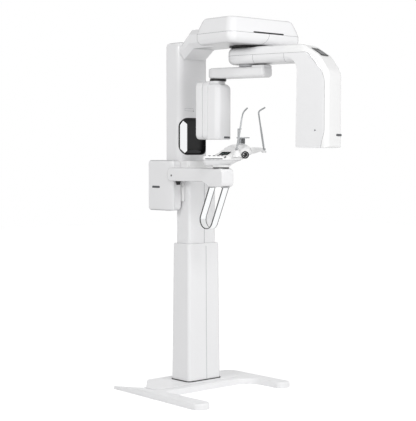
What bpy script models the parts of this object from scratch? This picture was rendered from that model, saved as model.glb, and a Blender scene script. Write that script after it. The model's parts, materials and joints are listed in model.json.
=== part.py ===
"""Dental cone beam CT scanner, modelled as separate pieces in metres, +Z up.

The patient stands on the -Y side and faces the column. The origin is on the
floor under the column sleeve.
"""
import math

import bmesh
import bpy
from mathutils import Matrix, Vector

# Clearances
SEAT = 0.0003
RUNNING = 0.0005
SLIDE_PLAY = 0.0035

# Floor base, all distances from the column's centre
BASE_THICKNESS = 0.036
LEFT_FOOT_OUTER = 0.500
LEFT_FOOT_WIDTH = 0.115
LEFT_FOOT_FRONT = 0.586
LEFT_FOOT_CORNER = 0.046
TAIL_OUTER = 0.458
TAIL_WIDTH = 0.016
TAIL_REAR = 0.223
RIGHT_FOOT_OUTER = 0.385
RIGHT_FOOT_WIDTH = 0.105
RIGHT_FOOT_FRONT = 0.440
RIGHT_FOOT_CORNER = 0.040
RIGHT_FOOT_REAR = 0.117
RIGHT_HEEL_RADIUS = 0.070
BRIDGE_FRONT = 0.175
BRIDGE_REAR = 0.168
BRIDGE_FILLET = 0.050
BASE_EDGE = 0.010
PLINTH_THICKNESS = 0.004
PLINTH_LEFT = 0.415
PLINTH_RIGHT = 0.255
PLINTH_FRONT = 0.125
PLINTH_REAR = 0.158
PLINTH_CORNER = 0.030
DIAGONAL_START_X = 0.250
DIAGONAL_END_Y = 0.030

# Column sleeve and telescoping column
COLUMN_HALF_X = 0.107
COLUMN_FRONT = 0.062
COLUMN_REAR = 0.061
COLUMN_CORNER = 0.018
COLUMN_WALL = 0.005
COLUMN_LENGTH = 0.890
SLEEVE_HEIGHT = 0.816
SLEEVE_WALL = 0.0115
SLEEVE_FOOT_FLARE = 0.0075
SLEEVE_CORNER = 0.022
GROOVE_X = 0.013
GROOVE_WIDTH = 0.004
GROOVE_DEPTH = 0.002
GASKET_WIDTH = 0.004
GASKET_HEIGHT = 0.005
GLIDE_HEIGHT = 0.045
GLIDE_DROP = 0.012

# Lift actuator
MOTOR_HEIGHT = 0.090
MOTOR_HALF = 0.042
ACTUATOR_RADIUS = 0.028
ACTUATOR_WALL = 0.004
ACTUATOR_LENGTH = 0.640
ROD_LENGTH = 0.960

# Carriage collar
COLLAR_UNDERSIDE = 1.235
COLLAR_HEIGHT = 0.120
COLLAR_HALF_X = 0.117
COLLAR_FRONT_WALL = 0.006
COLLAR_REAR = 0.152
COLLAR_CORNER = 0.022
COLLAR_ROOF = 0.010
RIB_DROP = 0.120
RIB_WIDTH = 0.024
RIB_THICKNESS = 0.008

# Side control box
BOX_DEPTH = 0.223
BOX_HEIGHT = 0.300
BOX_DROP = 0.175
BOX_BODY_WIDTH = 0.052
BOX_COVER_WIDTH = 0.020
BOX_CORNER = 0.032
BOX_WALL = 0.004
BOARD_THICKNESS = 0.010
BOARD_MARGIN = 0.030

# Side arm
ARM_LENGTH = 0.450
ARM_TOP_ABOVE_UNDERSIDE = 0.080
ARM_REAR_THICKNESS = 0.078
ARM_FRONT_THICKNESS = 0.106
ARM_STEP_START = 0.270
ARM_STEP_END = 0.330
ARM_INNER_X = 0.105
ARM_CHEEK = 0.0057
ARM_CHEEK_LENGTH = 0.040
ARM_NOSE_RADIUS = 0.026
ARM_EDGE = 0.010

# Stop button under the side arm
BUTTON_X = -0.160
BUTTON_Y = -0.024
BUTTON_TOP_RADIUS = 0.0150
BUTTON_END_RADIUS = 0.0115
BUTTON_HEIGHT = 0.026
BUTTON_INSET = 0.003
BUTTON_TRAVEL_ROOM = 0.008

# Grip loop
GRIP_SETBACK = 0.022
GRIP_SPAN = 0.115
GRIP_WIDTH = 0.050
GRIP_THICKNESS = 0.0045
GRIP_CENTRE_X = -0.150
GRIP_DROP = 0.186
GRIP_LEAN = 0.084
SOCKET_HEIGHT = 0.004
SOCKET_LENGTH = 0.014
SOCKET_MARGIN = 0.002

# Patient table, chin rest and temple rods
NECK_X = -0.150
NECK_Y = -0.390
NECK_RADIUS = 0.0465
NECK_HEIGHT = 0.0145
TRAY_HEIGHT = 0.032
TRAY_SHRINK = 0.55
TABLE_LEFT = -0.250
TABLE_RIGHT = 0.045
TABLE_BACK = -0.295
TABLE_LEFT_FRONT = -0.355
TABLE_NOSE_X = -0.050
TABLE_NOSE_Y = -0.535
TABLE_RIGHT_FRONT = -0.435
TABLE_RIGHT_BACK = -0.330
WING_HEIGHT = 0.022
RIDGE_HEIGHT = 0.090
SLOPE_START_X = -0.140
SLOPE_END_X = -0.028
TABLE_EDGE = 0.007
KEY_COUNT = 4
KEY_LENGTH = 0.013
KEY_WIDTH = 0.009
KEY_HEIGHT = 0.005
KEY_PROUD = 0.0018
KEY_ROOM = 0.0016
KEY_PITCH = 0.0245
KEY_FIRST = 0.032
KEY_INSET = 0.018
DISPLAY_FRONT = -0.4235
DISPLAY_BACK = -0.349
DISPLAY_LENGTH = 0.036
DISPLAY_FROM_SLOPE = 0.008
DISPLAY_THICKNESS = 0.0025
KNOB_RADIUS = 0.022
KNOB_DEPTH = 0.009
KNOB_ALONG = 0.234
KNOB_ABOVE_SEAM = 0.029
ROD_SPREAD = 0.107
ROD_HINGE_Y = -0.475
ROD_HINGE_ABOVE_SEAM = 0.062
HINGE_RADIUS = 0.007
HINGE_LENGTH = 0.016
TEMPLE_ROD_RADIUS = 0.004
TEMPLE_BEND_X = 0.0615
TEMPLE_BEND_UP = 0.206
TEMPLE_TIP_X = 0.070
TEMPLE_TIP_Y = -0.522
TEMPLE_TIP_UP = 0.231
BRACKET_WIDTH = 0.024
BRACKET_THICKNESS = 0.022
BRACKET_INSIDE = 0.070
POST_RADIUS = 0.006
POST_DEPTH = 0.024
CHIN_Y = -0.400
CHIN_STEM_HALF = 0.016
CHIN_STEM_HEIGHT = 0.036
CHIN_PLATE_HALF = 0.028
CHIN_PLATE_FRONT = -0.450
CHIN_PLATE_BACK = -0.383
CHIN_PLATE_THICKNESS = 0.005
BITE_Y = -0.375
BITE_HALF = 0.006
BITE_THICKNESS = 0.008
BITE_ABOVE = 0.092
BITE_BELOW = 0.035
BITE_TIP = 0.024
BITE_TIP_THICKNESS = 0.006

# Upper column with the mirror niche
UPPER_HALF_X = 0.115
UPPER_FRONT = 0.014
UPPER_REAR = 0.150
UPPER_HEIGHT = 0.707
UPPER_FRONT_CORNER = 0.040
UPPER_REAR_CORNER = 0.020
UPPER_WALL = 0.006
SHOULDER = 0.022
NICHE_LEFT = -0.109
NICHE_RIGHT = 0.104
NICHE_LOW = 0.036
NICHE_HEIGHT = 0.222
NICHE_CORNER = 0.050
NICHE_DEPTH = 0.038
NICHE_WALL = 0.005
NICHE_RECESS = 0.001
MIRROR_WIDTH = 0.072
MIRROR_THICKNESS = 0.002
MIRROR_LEAN = 0.015
MIRROR_MARGIN = 0.052

# Bracket from the upper column to the head housing
BRACKET_HALF_X = 0.112
BRACKET_ROOT_DROP = 0.112
BRACKET_TOP_RISE = 0.065
BRACKET_KNEE_FRONT = -0.050
BRACKET_KNEE_TOP = -0.060
BRACKET_EDGE = 0.016

# Head housing, distances of its walls from the column's centre
HOUSING_HALF_X = 0.278
HOUSING_FRONT = 0.609
HOUSING_REAR = 0.298
HOUSING_CORNER = 0.046
HOUSING_LOWER_HEIGHT = 0.0605
HOUSING_UPPER_HEIGHT = 0.0892
HOUSING_WALL = 0.005
HOUSING_CHAMFER = 0.018
HOUSING_TOP_SLANT = 0.034
SLIT_LEFT = -0.104
SLIT_RIGHT = 0.132
SLIT_HEIGHT = 0.008
SLIT_RECESS = 0.0008

# Rotor: the axis is parallel to Z, radii from it along the tube arm
ROTOR_Y = -0.460
ROTOR_REST_TURN = math.radians(-74.5)
HOUSING_DROP = 0.0543
STAGE_TRAVEL = 0.020
TURNTABLE_RADIUS = 0.112
TURNTABLE_THICKNESS = 0.0072
SPINDLE_RADIUS = 0.045
FLANGE_RADIUS = 0.072
FLANGE_THICKNESS = 0.008
SLEW_RING_RADIUS = 0.085
SLEW_RING_HEIGHT = 0.020
RAIL_SPACING = 0.100
RAIL_WIDTH = 0.020
RAIL_HEIGHT = 0.011
RAIL_LENGTH = 0.225
STAGE_HALF_X = 0.150
STAGE_HALF_Y = 0.085
STAGE_THICKNESS = 0.008
TURN_MOTOR_X = 0.118
TURN_MOTOR_RADIUS = 0.027
TURN_MOTOR_HEIGHT = 0.050
TUBE_ARM_THICKNESS = 0.095
TUBE_ARM_HALF = 0.0945
TUBE_ARM_REAR = 0.118
TUBE_ARM_REACH = 0.280
TUBE_ARM_EDGE = 0.012
HEAD_INNER = 0.363
HEAD_SEAM = 0.531
HEAD_OUTER = 0.550
HEAD_HEIGHT = 0.570
HEAD_TAPER = 0.008
HEAD_INNER_BEND = 0.030
HEAD_SHOULDER_R = 0.425
HEAD_SHOULDER_BEND = 0.040
HEAD_SEAM_DROP = 0.175
HEAD_SEAM_BEND = 0.080
HEAD_CROWN_R = 0.390
HEAD_CROWN_BEND = 0.100
HEAD_SLOPE_R = 0.490
HEAD_SLOPE_DROP = 0.065
HEAD_SLOPE_BEND = 0.120
HEAD_SIDE_DROP = 0.155
HEAD_SIDE_BEND = 0.090
HEAD_EDGE = 0.006
HEAD_HOLLOW_HALF = 0.082
HEAD_HOLLOW_LOW = 0.020
HEAD_HOLLOW_HEIGHT = 0.390
HEAD_WALL = 0.012
WINDOW_LENGTH = 0.058
WINDOW_HALF = 0.042
WINDOW_THICKNESS = 0.002
TUBE_BLOCK_HALF = 0.060
TUBE_BLOCK_DEPTH = 0.115
TUBE_BLOCK_HEIGHT = 0.160
TUBE_BLOCK_LOW = 0.130
COLLIMATOR_HALF = 0.030
COLLIMATOR_HEIGHT = 0.080
COLLIMATOR_THICKNESS = 0.008
COLLIMATOR_SLOT = 0.006

# Detector arm and detector head
PIVOT_RADIUS = 0.055
PIVOT_HEIGHT = 0.0124
DETECTOR_ARM_THICKNESS = 0.062
DETECTOR_ARM_HALF = 0.053
DETECTOR_ARM_FRONT = 0.130
DETECTOR_R = 0.208
DETECTOR_NECK_RADIUS = 0.048
DETECTOR_NECK_HEIGHT = 0.0122
DETECTOR_HALF = 0.075
DETECTOR_HEIGHT = 0.337
DETECTOR_FRONT_R = 0.155
DETECTOR_FRONT_DEPTH = 0.0776
DETECTOR_MID_DEPTH = 0.0378
DETECTOR_BACK_DEPTH = 0.046
DETECTOR_SHOULDER_DROP = 0.017
DETECTOR_CORNER = 0.028
DETECTOR_EDGE = 0.006
DETECTOR_WALL = 0.010
SENSOR_THICKNESS = 0.012
SENSOR_MARGIN = 0.012


def clear_scene():
    """Remove every object that the scene starts with."""
    for old in list(bpy.data.objects):
        bpy.data.objects.remove(old, do_unlink=True)


def finish(name, colour, roughness, metallic=0.0):
    """A Principled material with the colour of the real finish."""
    material = bpy.data.materials.new(name)
    material.use_nodes = True
    shader = material.node_tree.nodes["Principled BSDF"]
    shader.inputs["Base Color"].default_value = (*colour, 1.0)
    shader.inputs["Roughness"].default_value = roughness
    shader.inputs["Metallic"].default_value = metallic
    return material


def rounded(points, radii, steps=4):
    """A closed outline with each corner turned into an arc of its radius."""
    if not isinstance(radii, (list, tuple)):
        radii = [radii] * len(points)
    outline = []
    for index, radius in enumerate(radii):
        corner = Vector(points[index])
        before = (Vector(points[index - 1]) - corner)
        after = (Vector(points[(index + 1) % len(points)]) - corner)
        if radius <= 0.0:
            outline.append(tuple(corner))
            continue
        half = before.angle(after) / 2
        reach = min(radius / math.tan(half), before.length * 0.48, after.length * 0.48)
        radius = reach * math.tan(half)
        centre = corner + (before.normalized() + after.normalized()).normalized() * (
            radius / math.sin(half))
        start = corner + before.normalized() * reach - centre
        sweep = start.angle_signed(corner + after.normalized() * reach - centre)
        for step in range(steps + 1):
            turn = Matrix.Rotation(-sweep * step / steps, 2)
            outline.append(tuple(centre + turn @ start))
    return outline


def rectangle(low_a, low_b, high_a, high_b):
    """Four corners, anticlockwise."""
    return [(low_a, low_b), (high_a, low_b), (high_a, high_b), (low_a, high_b)]


def lift_point(axis, pair, along):
    """A point from its two outline coordinates and its place along an axis."""
    a, b = pair
    if axis == "X":
        return (along, a, b)
    if axis == "Y":
        return (a, along, b)
    return (a, b, along)


def new_object(name, mesh_data, material, parent=None, smooth=True):
    """Close the mesh's normals outwards and make it a named object."""
    bmesh.ops.recalc_face_normals(mesh_data, faces=mesh_data.faces)
    mesh = bpy.data.meshes.new(name)
    mesh_data.to_mesh(mesh)
    mesh_data.free()
    if smooth:
        mesh.shade_smooth()
        mesh.set_sharp_from_angle(angle=math.radians(35))
    mesh.materials.append(material)
    made = bpy.data.objects.new(name, mesh)
    bpy.context.collection.objects.link(made)
    made.parent = parent
    return made


def skin(mesh_data, loops, closed_ends=True):
    """Join loops of equal length, one after another, and cap the two ends."""
    rings = [[mesh_data.verts.new(point) for point in loop] for loop in loops]
    for lower, upper in zip(rings, rings[1:]):
        for index in range(len(lower)):
            after = (index + 1) % len(lower)
            mesh_data.faces.new((lower[index], lower[after], upper[after], upper[index]))
    if closed_ends:
        mesh_data.faces.new(list(reversed(rings[0])))
        mesh_data.faces.new(rings[-1])
    return rings


def add_prism(mesh_data, outline, axis, low, high):
    """Add one straight solid of an outline to a mesh."""
    skin(mesh_data, [[lift_point(axis, pair, along) for pair in outline]
                     for along in (low, high)])


def prism(name, outline, axis, low, high, material, parent=None):
    """One straight solid with the given outline."""
    mesh_data = bmesh.new()
    add_prism(mesh_data, outline, axis, low, high)
    return new_object(name, mesh_data, material, parent)


def loft(name, loops, material, parent=None):
    """A solid skinned over loops of points, closed at both ends."""
    mesh_data = bmesh.new()
    skin(mesh_data, loops)
    return new_object(name, mesh_data, material, parent)


def sleeve(name, loops, material, parent=None):
    """A tube: the loops run up its outside and down its inside."""
    mesh_data = bmesh.new()
    skin(mesh_data, loops + [loops[0]], closed_ends=False)
    bmesh.ops.remove_doubles(mesh_data, verts=mesh_data.verts, dist=0.00001)
    return new_object(name, mesh_data, material, parent)


def add_turned(mesh_data, profile, steps=32, closed=False):
    """Turn a profile of (radius, height) about Z; closed makes a ring."""
    rings = []
    for radius, height in profile:
        if radius == 0.0:
            rings.append([mesh_data.verts.new((0, 0, height))])
            continue
        rings.append([mesh_data.verts.new((radius * math.cos(math.tau * step / steps),
                                           radius * math.sin(math.tau * step / steps),
                                           height)) for step in range(steps)])
    pairs = list(zip(rings, rings[1:]))
    if closed:
        pairs.append((rings[-1], rings[0]))
    for lower, upper in pairs:
        for step in range(steps):
            after = (step + 1) % steps
            corners = [lower[step % len(lower)], lower[after % len(lower)],
                       upper[after % len(upper)], upper[step % len(upper)]]
            mesh_data.faces.new(list(dict.fromkeys(corners)))


def turned(name, profile, material, place=(0, 0, 0), parent=None, axis=(0, 0, 1),
           steps=32, closed=False):
    """A round piece, its profile turned about an axis through its place."""
    mesh_data = bmesh.new()
    add_turned(mesh_data, profile, steps, closed)
    turn = Vector((0, 0, 1)).rotation_difference(Vector(axis)).to_matrix()
    bmesh.ops.transform(mesh_data, matrix=turn.to_4x4(), verts=mesh_data.verts)
    made = new_object(name, mesh_data, material, parent)
    made.location = place
    return made


def ease(piece, width, segments=2):
    """Round the sharp edges of a piece."""
    modifier = piece.modifiers.new("eased_edges", "BEVEL")
    modifier.width = width
    modifier.segments = segments
    modifier.limit_method = "ANGLE"
    modifier.angle_limit = math.radians(40)
    modifier.use_clamp_overlap = True


def cut(piece, cutter):
    """Take a cutter's shape out of a piece."""
    cutter.hide_render = True
    cutter.display_type = "WIRE"
    modifier = piece.modifiers.new("cut_" + cutter.name, "BOOLEAN")
    modifier.operation = "DIFFERENCE"
    modifier.solver = "EXACT"
    modifier.object = cutter


def pivot(name, place, parent=None, turn=0.0):
    """An empty on a joint's axis, which carries the pieces that move."""
    empty = bpy.data.objects.new(name, None)
    empty.empty_display_size = 0.05
    bpy.context.collection.objects.link(empty)
    empty.location = place
    empty.rotation_euler = (0, 0, turn)
    empty.parent = parent
    return empty


def floor_base(paint):
    """The floor frame with its two feet, and the plinth on it."""
    top = BASE_THICKNESS
    inner_left = -LEFT_FOOT_OUTER + LEFT_FOOT_WIDTH
    inner_right = RIGHT_FOOT_OUTER - RIGHT_FOOT_WIDTH
    corners = [
        ((-LEFT_FOOT_OUTER, -LEFT_FOOT_FRONT), LEFT_FOOT_CORNER),
        ((inner_left, -LEFT_FOOT_FRONT), LEFT_FOOT_CORNER),
        ((inner_left, -BRIDGE_FRONT), BRIDGE_FILLET / 2),
        ((inner_right, -BRIDGE_FRONT), BRIDGE_FILLET),
        ((inner_right, -RIGHT_FOOT_FRONT), RIGHT_FOOT_CORNER),
        ((RIGHT_FOOT_OUTER, -RIGHT_FOOT_FRONT), RIGHT_FOOT_CORNER),
        ((RIGHT_FOOT_OUTER, RIGHT_FOOT_REAR), RIGHT_HEEL_RADIUS),
        ((inner_right - BRIDGE_FILLET / 2, RIGHT_FOOT_REAR), BRIDGE_FILLET / 2),
        ((inner_right - BRIDGE_FILLET * 1.5, BRIDGE_REAR), BRIDGE_FILLET / 2),
        ((-DIAGONAL_START_X, BRIDGE_REAR), BRIDGE_FILLET),
        ((inner_left - BRIDGE_FILLET / 3, -DIAGONAL_END_Y), BRIDGE_FILLET / 2),
        ((-TAIL_OUTER + TAIL_WIDTH, TAIL_REAR), TAIL_WIDTH / 3),
        ((-TAIL_OUTER, TAIL_REAR), TAIL_WIDTH / 3),
    ]
    outline = rounded([point for point, _ in corners], [radius for _, radius in corners], 5)
    frame = prism("base_frame", outline, "Z", 0.0, top, paint)
    ease(frame, BASE_EDGE, 3)

    plinth_points = [
        (-PLINTH_LEFT, -DIAGONAL_END_Y), (-PLINTH_LEFT + PLINTH_CORNER / 2, -PLINTH_FRONT),
        (PLINTH_RIGHT, -PLINTH_FRONT), (PLINTH_RIGHT, RIGHT_FOOT_REAR - PLINTH_CORNER),
        (PLINTH_RIGHT - 2 * PLINTH_CORNER, PLINTH_REAR), (-DIAGONAL_START_X, PLINTH_REAR),
    ]
    plinth = prism("column_plinth", rounded(plinth_points, PLINTH_CORNER), "Z",
                   top + SEAT, top + SEAT + PLINTH_THICKNESS, paint)
    ease(plinth, PLINTH_THICKNESS / 2, 2)

    return top + SEAT + PLINTH_THICKNESS


def column_outline(offset, corner):
    """The column's plan outline with its groove, grown by an offset."""
    front = -COLUMN_FRONT - offset
    groove = [(GROOVE_X - GROOVE_WIDTH / 2, front), (GROOVE_X - GROOVE_WIDTH / 2, front + GROOVE_DEPTH),
              (GROOVE_X + GROOVE_WIDTH / 2, front + GROOVE_DEPTH), (GROOVE_X + GROOVE_WIDTH / 2, front)]
    half = COLUMN_HALF_X + offset
    rear = COLUMN_REAR + offset
    points = [(-half, front)] + groove + [(half, front), (half, rear), (-half, rear)]
    return rounded(points, [corner, 0, 0, 0, 0, corner, corner, corner])


def plain_column_outline(offset, corner):
    """The column's plan outline without the groove, grown by an offset."""
    half = COLUMN_HALF_X + offset
    return rounded(rectangle(-half, -COLUMN_FRONT - offset, half, COLUMN_REAR + offset), corner)


def at_height(outline, height):
    """The outline's points at one height."""
    return [(x, y, height) for x, y in outline]


def column_sleeve(floor, paint, rubber, nylon):
    """The fixed outer sleeve, the gasket at its foot and its glide ring."""
    bottom = floor + SEAT
    top = bottom + SLEEVE_HEIGHT
    foot = SLIDE_PLAY + SLEEVE_WALL + SLEEVE_FOOT_FLARE
    mouth = SLIDE_PLAY + SLEEVE_WALL
    bore = column_outline(SLIDE_PLAY, COLUMN_CORNER)
    sleeve("outer_sleeve", [
        at_height(column_outline(foot, SLEEVE_CORNER), bottom),
        at_height(column_outline(mouth, SLEEVE_CORNER), top),
        at_height(bore, top), at_height(bore, bottom)], paint)

    inner = plain_column_outline(foot + SEAT, SLEEVE_CORNER)
    outer = plain_column_outline(foot + SEAT + GASKET_WIDTH, SLEEVE_CORNER + GASKET_WIDTH)
    sleeve("sleeve_gasket", [
        at_height(outer, bottom), at_height(outer, bottom + GASKET_HEIGHT),
        at_height(inner, bottom + GASKET_HEIGHT), at_height(inner, bottom)], rubber)

    high = top - GLIDE_DROP
    low = high - GLIDE_HEIGHT
    far = column_outline(SLIDE_PLAY - SEAT, COLUMN_CORNER)
    near = column_outline(RUNNING, COLUMN_CORNER)
    sleeve("sleeve_glide", [at_height(far, low), at_height(far, high),
                            at_height(near, high), at_height(near, low)], nylon)


def carriage_roof():
    """Height of the collar's inside roof, which the column carries."""
    return COLLAR_UNDERSIDE + COLLAR_HEIGHT - COLLAR_ROOF


def telescoping_column(lift, paint):
    """The column that slides in the sleeve and carries the collar."""
    top = carriage_roof() - SEAT
    bottom = top - COLUMN_LENGTH
    outside = column_outline(0.0, COLUMN_CORNER)
    inside = column_outline(-COLUMN_WALL, COLUMN_CORNER - COLUMN_WALL)
    sleeve("telescoping_column", [
        at_height(outside, bottom), at_height(outside, top),
        at_height(inside, top), at_height(inside, bottom)], paint, lift)


def lift_actuator(floor, lift, motor_paint, steel):
    """The motor and tube on the plinth, and the rod that lifts the collar."""
    middle = (COLUMN_REAR - COLUMN_FRONT) / 2
    base = floor + SEAT
    motor = prism("lift_motor", rounded(rectangle(-MOTOR_HALF, middle - MOTOR_HALF,
                                                  MOTOR_HALF, middle + MOTOR_HALF), 0.008, 2),
                  "Z", base, base + MOTOR_HEIGHT, motor_paint)
    ease(motor, 0.003, 1)
    foot = base + MOTOR_HEIGHT + SEAT
    bore = ACTUATOR_RADIUS - ACTUATOR_WALL
    turned("lift_actuator_tube", [
        (bore, foot), (ACTUATOR_RADIUS, foot), (ACTUATOR_RADIUS, foot + ACTUATOR_LENGTH),
        (bore, foot + ACTUATOR_LENGTH)], steel, (0, middle, 0), steps=24, closed=True)
    radius = bore - RUNNING
    top = carriage_roof() - SEAT
    turned("lift_push_rod", [(0, top - ROD_LENGTH), (radius, top - ROD_LENGTH), (radius, top), (0, top)],
           steel, (0, middle, 0), lift, steps=24)


def carriage_collar(lift, paint):
    """The block on top of the column, with the stiffening rib under it."""
    front = -COLUMN_FRONT - SEAT - COLLAR_FRONT_WALL
    top = COLLAR_UNDERSIDE + COLLAR_HEIGHT
    outline = rounded(rectangle(-COLLAR_HALF_X, front, COLLAR_HALF_X, COLLAR_REAR), COLLAR_CORNER)
    collar = prism("carriage_collar", outline, "Z", COLLAR_UNDERSIDE, top, paint, lift)
    rib = rectangle(-COLLAR_HALF_X, -RIB_WIDTH, -COLLAR_HALF_X + RIB_THICKNESS, -SEAT)
    join(collar, prism("collar_rib", rib, "Z", COLLAR_UNDERSIDE - RIB_DROP, top - COLLAR_ROOF,
                       paint, lift))
    pocket = prism("collar_pocket", plain_column_outline(SEAT, COLUMN_CORNER), "Z",
                   COLLAR_UNDERSIDE - COLLAR_ROOF, carriage_roof(), paint, lift)
    cut(collar, pocket)


def box_outline(inset):
    """The side box's outline in Y and Z, shrunk by an inset."""
    low = COLLAR_UNDERSIDE - BOX_DROP
    return rounded(rectangle(inset, low + inset, BOX_DEPTH - inset, low + BOX_HEIGHT - inset),
                   BOX_CORNER - inset)


def side_box(lift, paint, board_green):
    """The control box on the left of the collar: body, cover and board."""
    right = -COLLAR_HALF_X - SEAT
    seam = right - BOX_BODY_WIDTH
    body = prism("side_box_body", box_outline(0.0), "X", seam, right, paint, lift)
    ease(body, BOX_WALL * 0.75, 2)
    cut(body, prism("side_box_hollow", box_outline(BOX_WALL), "X", seam - BOX_WALL,
                    right - BOX_WALL, paint, lift))
    left = seam - SEAT - BOX_COVER_WIDTH
    cover = prism("side_box_cover", box_outline(0.0), "X", left, seam - SEAT, paint, lift)
    ease(cover, BOX_WALL * 0.75, 2)
    cut(cover, prism("side_cover_hollow", box_outline(BOX_WALL), "X", left + BOX_WALL,
                     seam + BOX_WALL, paint, lift))
    low = COLLAR_UNDERSIDE - BOX_DROP
    board_right = right - BOX_WALL - SEAT
    prism("control_board", rectangle(BOARD_MARGIN, low + BOARD_MARGIN, BOX_DEPTH - BOARD_MARGIN,
                                     low + BOX_HEIGHT - BOARD_MARGIN),
          "X", board_right - BOARD_THICKNESS, board_right, board_green, lift)
    return left


def arm_heights():
    """The side arm's top, its rear underside and its front underside."""
    top = COLLAR_UNDERSIDE + ARM_TOP_ABOVE_UNDERSIDE
    return top, top - ARM_REAR_THICKNESS, top - ARM_FRONT_THICKNESS


def side_arm(lift, box_left, paint):
    """The arm from the side box forward to the patient table."""
    top, rear_low, front_low = arm_heights()
    left = box_left - SEAT - ARM_CHEEK
    points = [(-ARM_LENGTH, front_low), (-ARM_STEP_END, front_low), (-ARM_STEP_START, rear_low),
              (ARM_CHEEK_LENGTH, rear_low), (ARM_CHEEK_LENGTH, top), (-ARM_LENGTH, top)]
    radii = [ARM_NOSE_RADIUS, ARM_NOSE_RADIUS, ARM_NOSE_RADIUS, ARM_NOSE_RADIUS,
             ARM_NOSE_RADIUS, ARM_NOSE_RADIUS]
    arm = prism("side_arm", rounded(points, radii), "X", left, -ARM_INNER_X, paint, lift)
    ease(arm, ARM_EDGE, 3)
    beyond = ARM_CHEEK_LENGTH * 2
    reach = COLLAR_HALF_X
    cut(arm, prism("box_clearance", rectangle(box_left - SEAT, -SEAT, 0.0, beyond), "Z",
                   front_low - reach, top + reach, paint, lift))
    collar_front = -COLUMN_FRONT - COLLAR_FRONT_WALL - 2 * SEAT
    cut(arm, prism("collar_clearance", rectangle(-COLLAR_HALF_X - SEAT, collar_front, 0.0, beyond), "Z",
                   front_low - reach, top + reach, paint, lift))
    recess = turned("button_recess", [
        (0, -BUTTON_HEIGHT), (BUTTON_TOP_RADIUS + RUNNING, -BUTTON_HEIGHT),
        (BUTTON_TOP_RADIUS + RUNNING, BUTTON_INSET + BUTTON_TRAVEL_ROOM),
        (0, BUTTON_INSET + BUTTON_TRAVEL_ROOM)], paint, (BUTTON_X, BUTTON_Y, rear_low), lift, steps=28)
    cut(arm, recess)


def stop_button(lift, red_black):
    """The push button under the side arm."""
    rear_low = arm_heights()[1]
    axis = pivot("stop_button_axis", (BUTTON_X, BUTTON_Y, rear_low), lift)
    low = BUTTON_INSET - BUTTON_HEIGHT
    turned("stop_button", [
        (0, low), (BUTTON_END_RADIUS * 0.8, low), (BUTTON_END_RADIUS, low + BUTTON_INSET),
        (BUTTON_TOP_RADIUS, -BUTTON_INSET), (BUTTON_TOP_RADIUS, BUTTON_INSET), (0, BUTTON_INSET)],
        red_black, parent=axis, steps=28)


def grip_loop(lift, steel, black):
    """The flat steel loop that the patient holds, and its socket plate."""
    arm_low = arm_heights()[2]
    top = arm_low - SOCKET_HEIGHT - 2 * SEAT
    down = Vector((GRIP_LEAN, -GRIP_DROP)).normalized()
    across = Vector((-down.y, down.x))
    front_top = Vector((GRIP_SETBACK - ARM_LENGTH, top))
    rear_top = Vector((front_top.x + GRIP_SPAN, top))
    bend_radius = (rear_top - front_top).dot(across) / 2
    length = Vector((GRIP_LEAN, GRIP_DROP)).length
    centre = (front_top + rear_top) / 2 + down * length
    half = GRIP_THICKNESS / 2

    def side(offset):
        """One face of the strap, from the front leg round to the rear leg."""
        run = []
        radius = bend_radius + offset
        for step in range(17):
            turn = math.pi * step / 16
            run.append(centre - across * radius * math.cos(turn) + down * radius * math.sin(turn))
        first = run[0] - down * ((run[0].y - top) / down.y)
        last = run[-1] - down * ((run[-1].y - top) / down.y)
        return [first] + run + [last]

    outline = [tuple(point) for point in side(half)] + [tuple(point) for point in reversed(side(-half))]
    low_x = GRIP_CENTRE_X - GRIP_WIDTH / 2
    prism("grip_loop", outline, "X", low_x, low_x + GRIP_WIDTH, steel, lift)
    socket = rounded(rectangle(low_x - SOCKET_MARGIN, front_top.x - SOCKET_LENGTH / 2,
                               low_x + GRIP_WIDTH + SOCKET_MARGIN, rear_top.x + SOCKET_LENGTH / 2),
                     SOCKET_MARGIN * 2, 2)
    prism("grip_socket_plate", socket, "Z", arm_low - SEAT - SOCKET_HEIGHT, arm_low - SEAT, black, lift)


def keep_inside(piece, cutter):
    """Keep only the part of a piece that lies inside a cutter."""
    cut(piece, cutter)
    piece.modifiers[-1].operation = "INTERSECT"


def table_heights():
    """The table's underside, seam, wing top and ridge top."""
    underside = arm_heights()[0] + SEAT + NECK_HEIGHT + SEAT
    seam = underside + TRAY_HEIGHT
    return underside, seam, seam + WING_HEIGHT, seam + RIDGE_HEIGHT


def table_plan():
    """The table's plan outline, with its nose towards the patient's right."""
    points = [(TABLE_LEFT, TABLE_LEFT_FRONT), (TABLE_NOSE_X, TABLE_NOSE_Y),
              (TABLE_RIGHT, TABLE_RIGHT_FRONT), (TABLE_RIGHT, TABLE_RIGHT_BACK),
              (TABLE_NOSE_X, TABLE_BACK), (TABLE_LEFT, TABLE_BACK)]
    return rounded(points, [0.012, 0.030, 0.040, 0.030, 0.030, 0.012])


def diagonal():
    """Start, direction and outward normal of the table's long front edge."""
    start = Vector((TABLE_LEFT, TABLE_LEFT_FRONT, 0))
    along = (Vector((TABLE_NOSE_X, TABLE_NOSE_Y, 0)) - start).normalized()
    return start, along, Vector((along.y, -along.x, 0))


def key_places():
    """The centre of each key on the wing, in a row along the front edge."""
    start, along, outward = diagonal()
    wing = table_heights()[2]
    places = []
    for index in range(KEY_COUNT):
        place = start + along * (KEY_FIRST + index * KEY_PITCH) - outward * KEY_INSET
        places.append((place.x, place.y, wing))
    return places


def key_outline(growth):
    """A key's outline about its centre, with its long side along the edge."""
    half_a, half_b = KEY_LENGTH / 2 + growth, KEY_WIDTH / 2 + growth
    along = diagonal()[1]
    corners = rounded(rectangle(-half_a, -half_b, half_a, half_b), KEY_WIDTH / 4, 2)
    return [(along.x * a - along.y * b, along.y * a + along.x * b) for a, b in corners]


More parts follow.
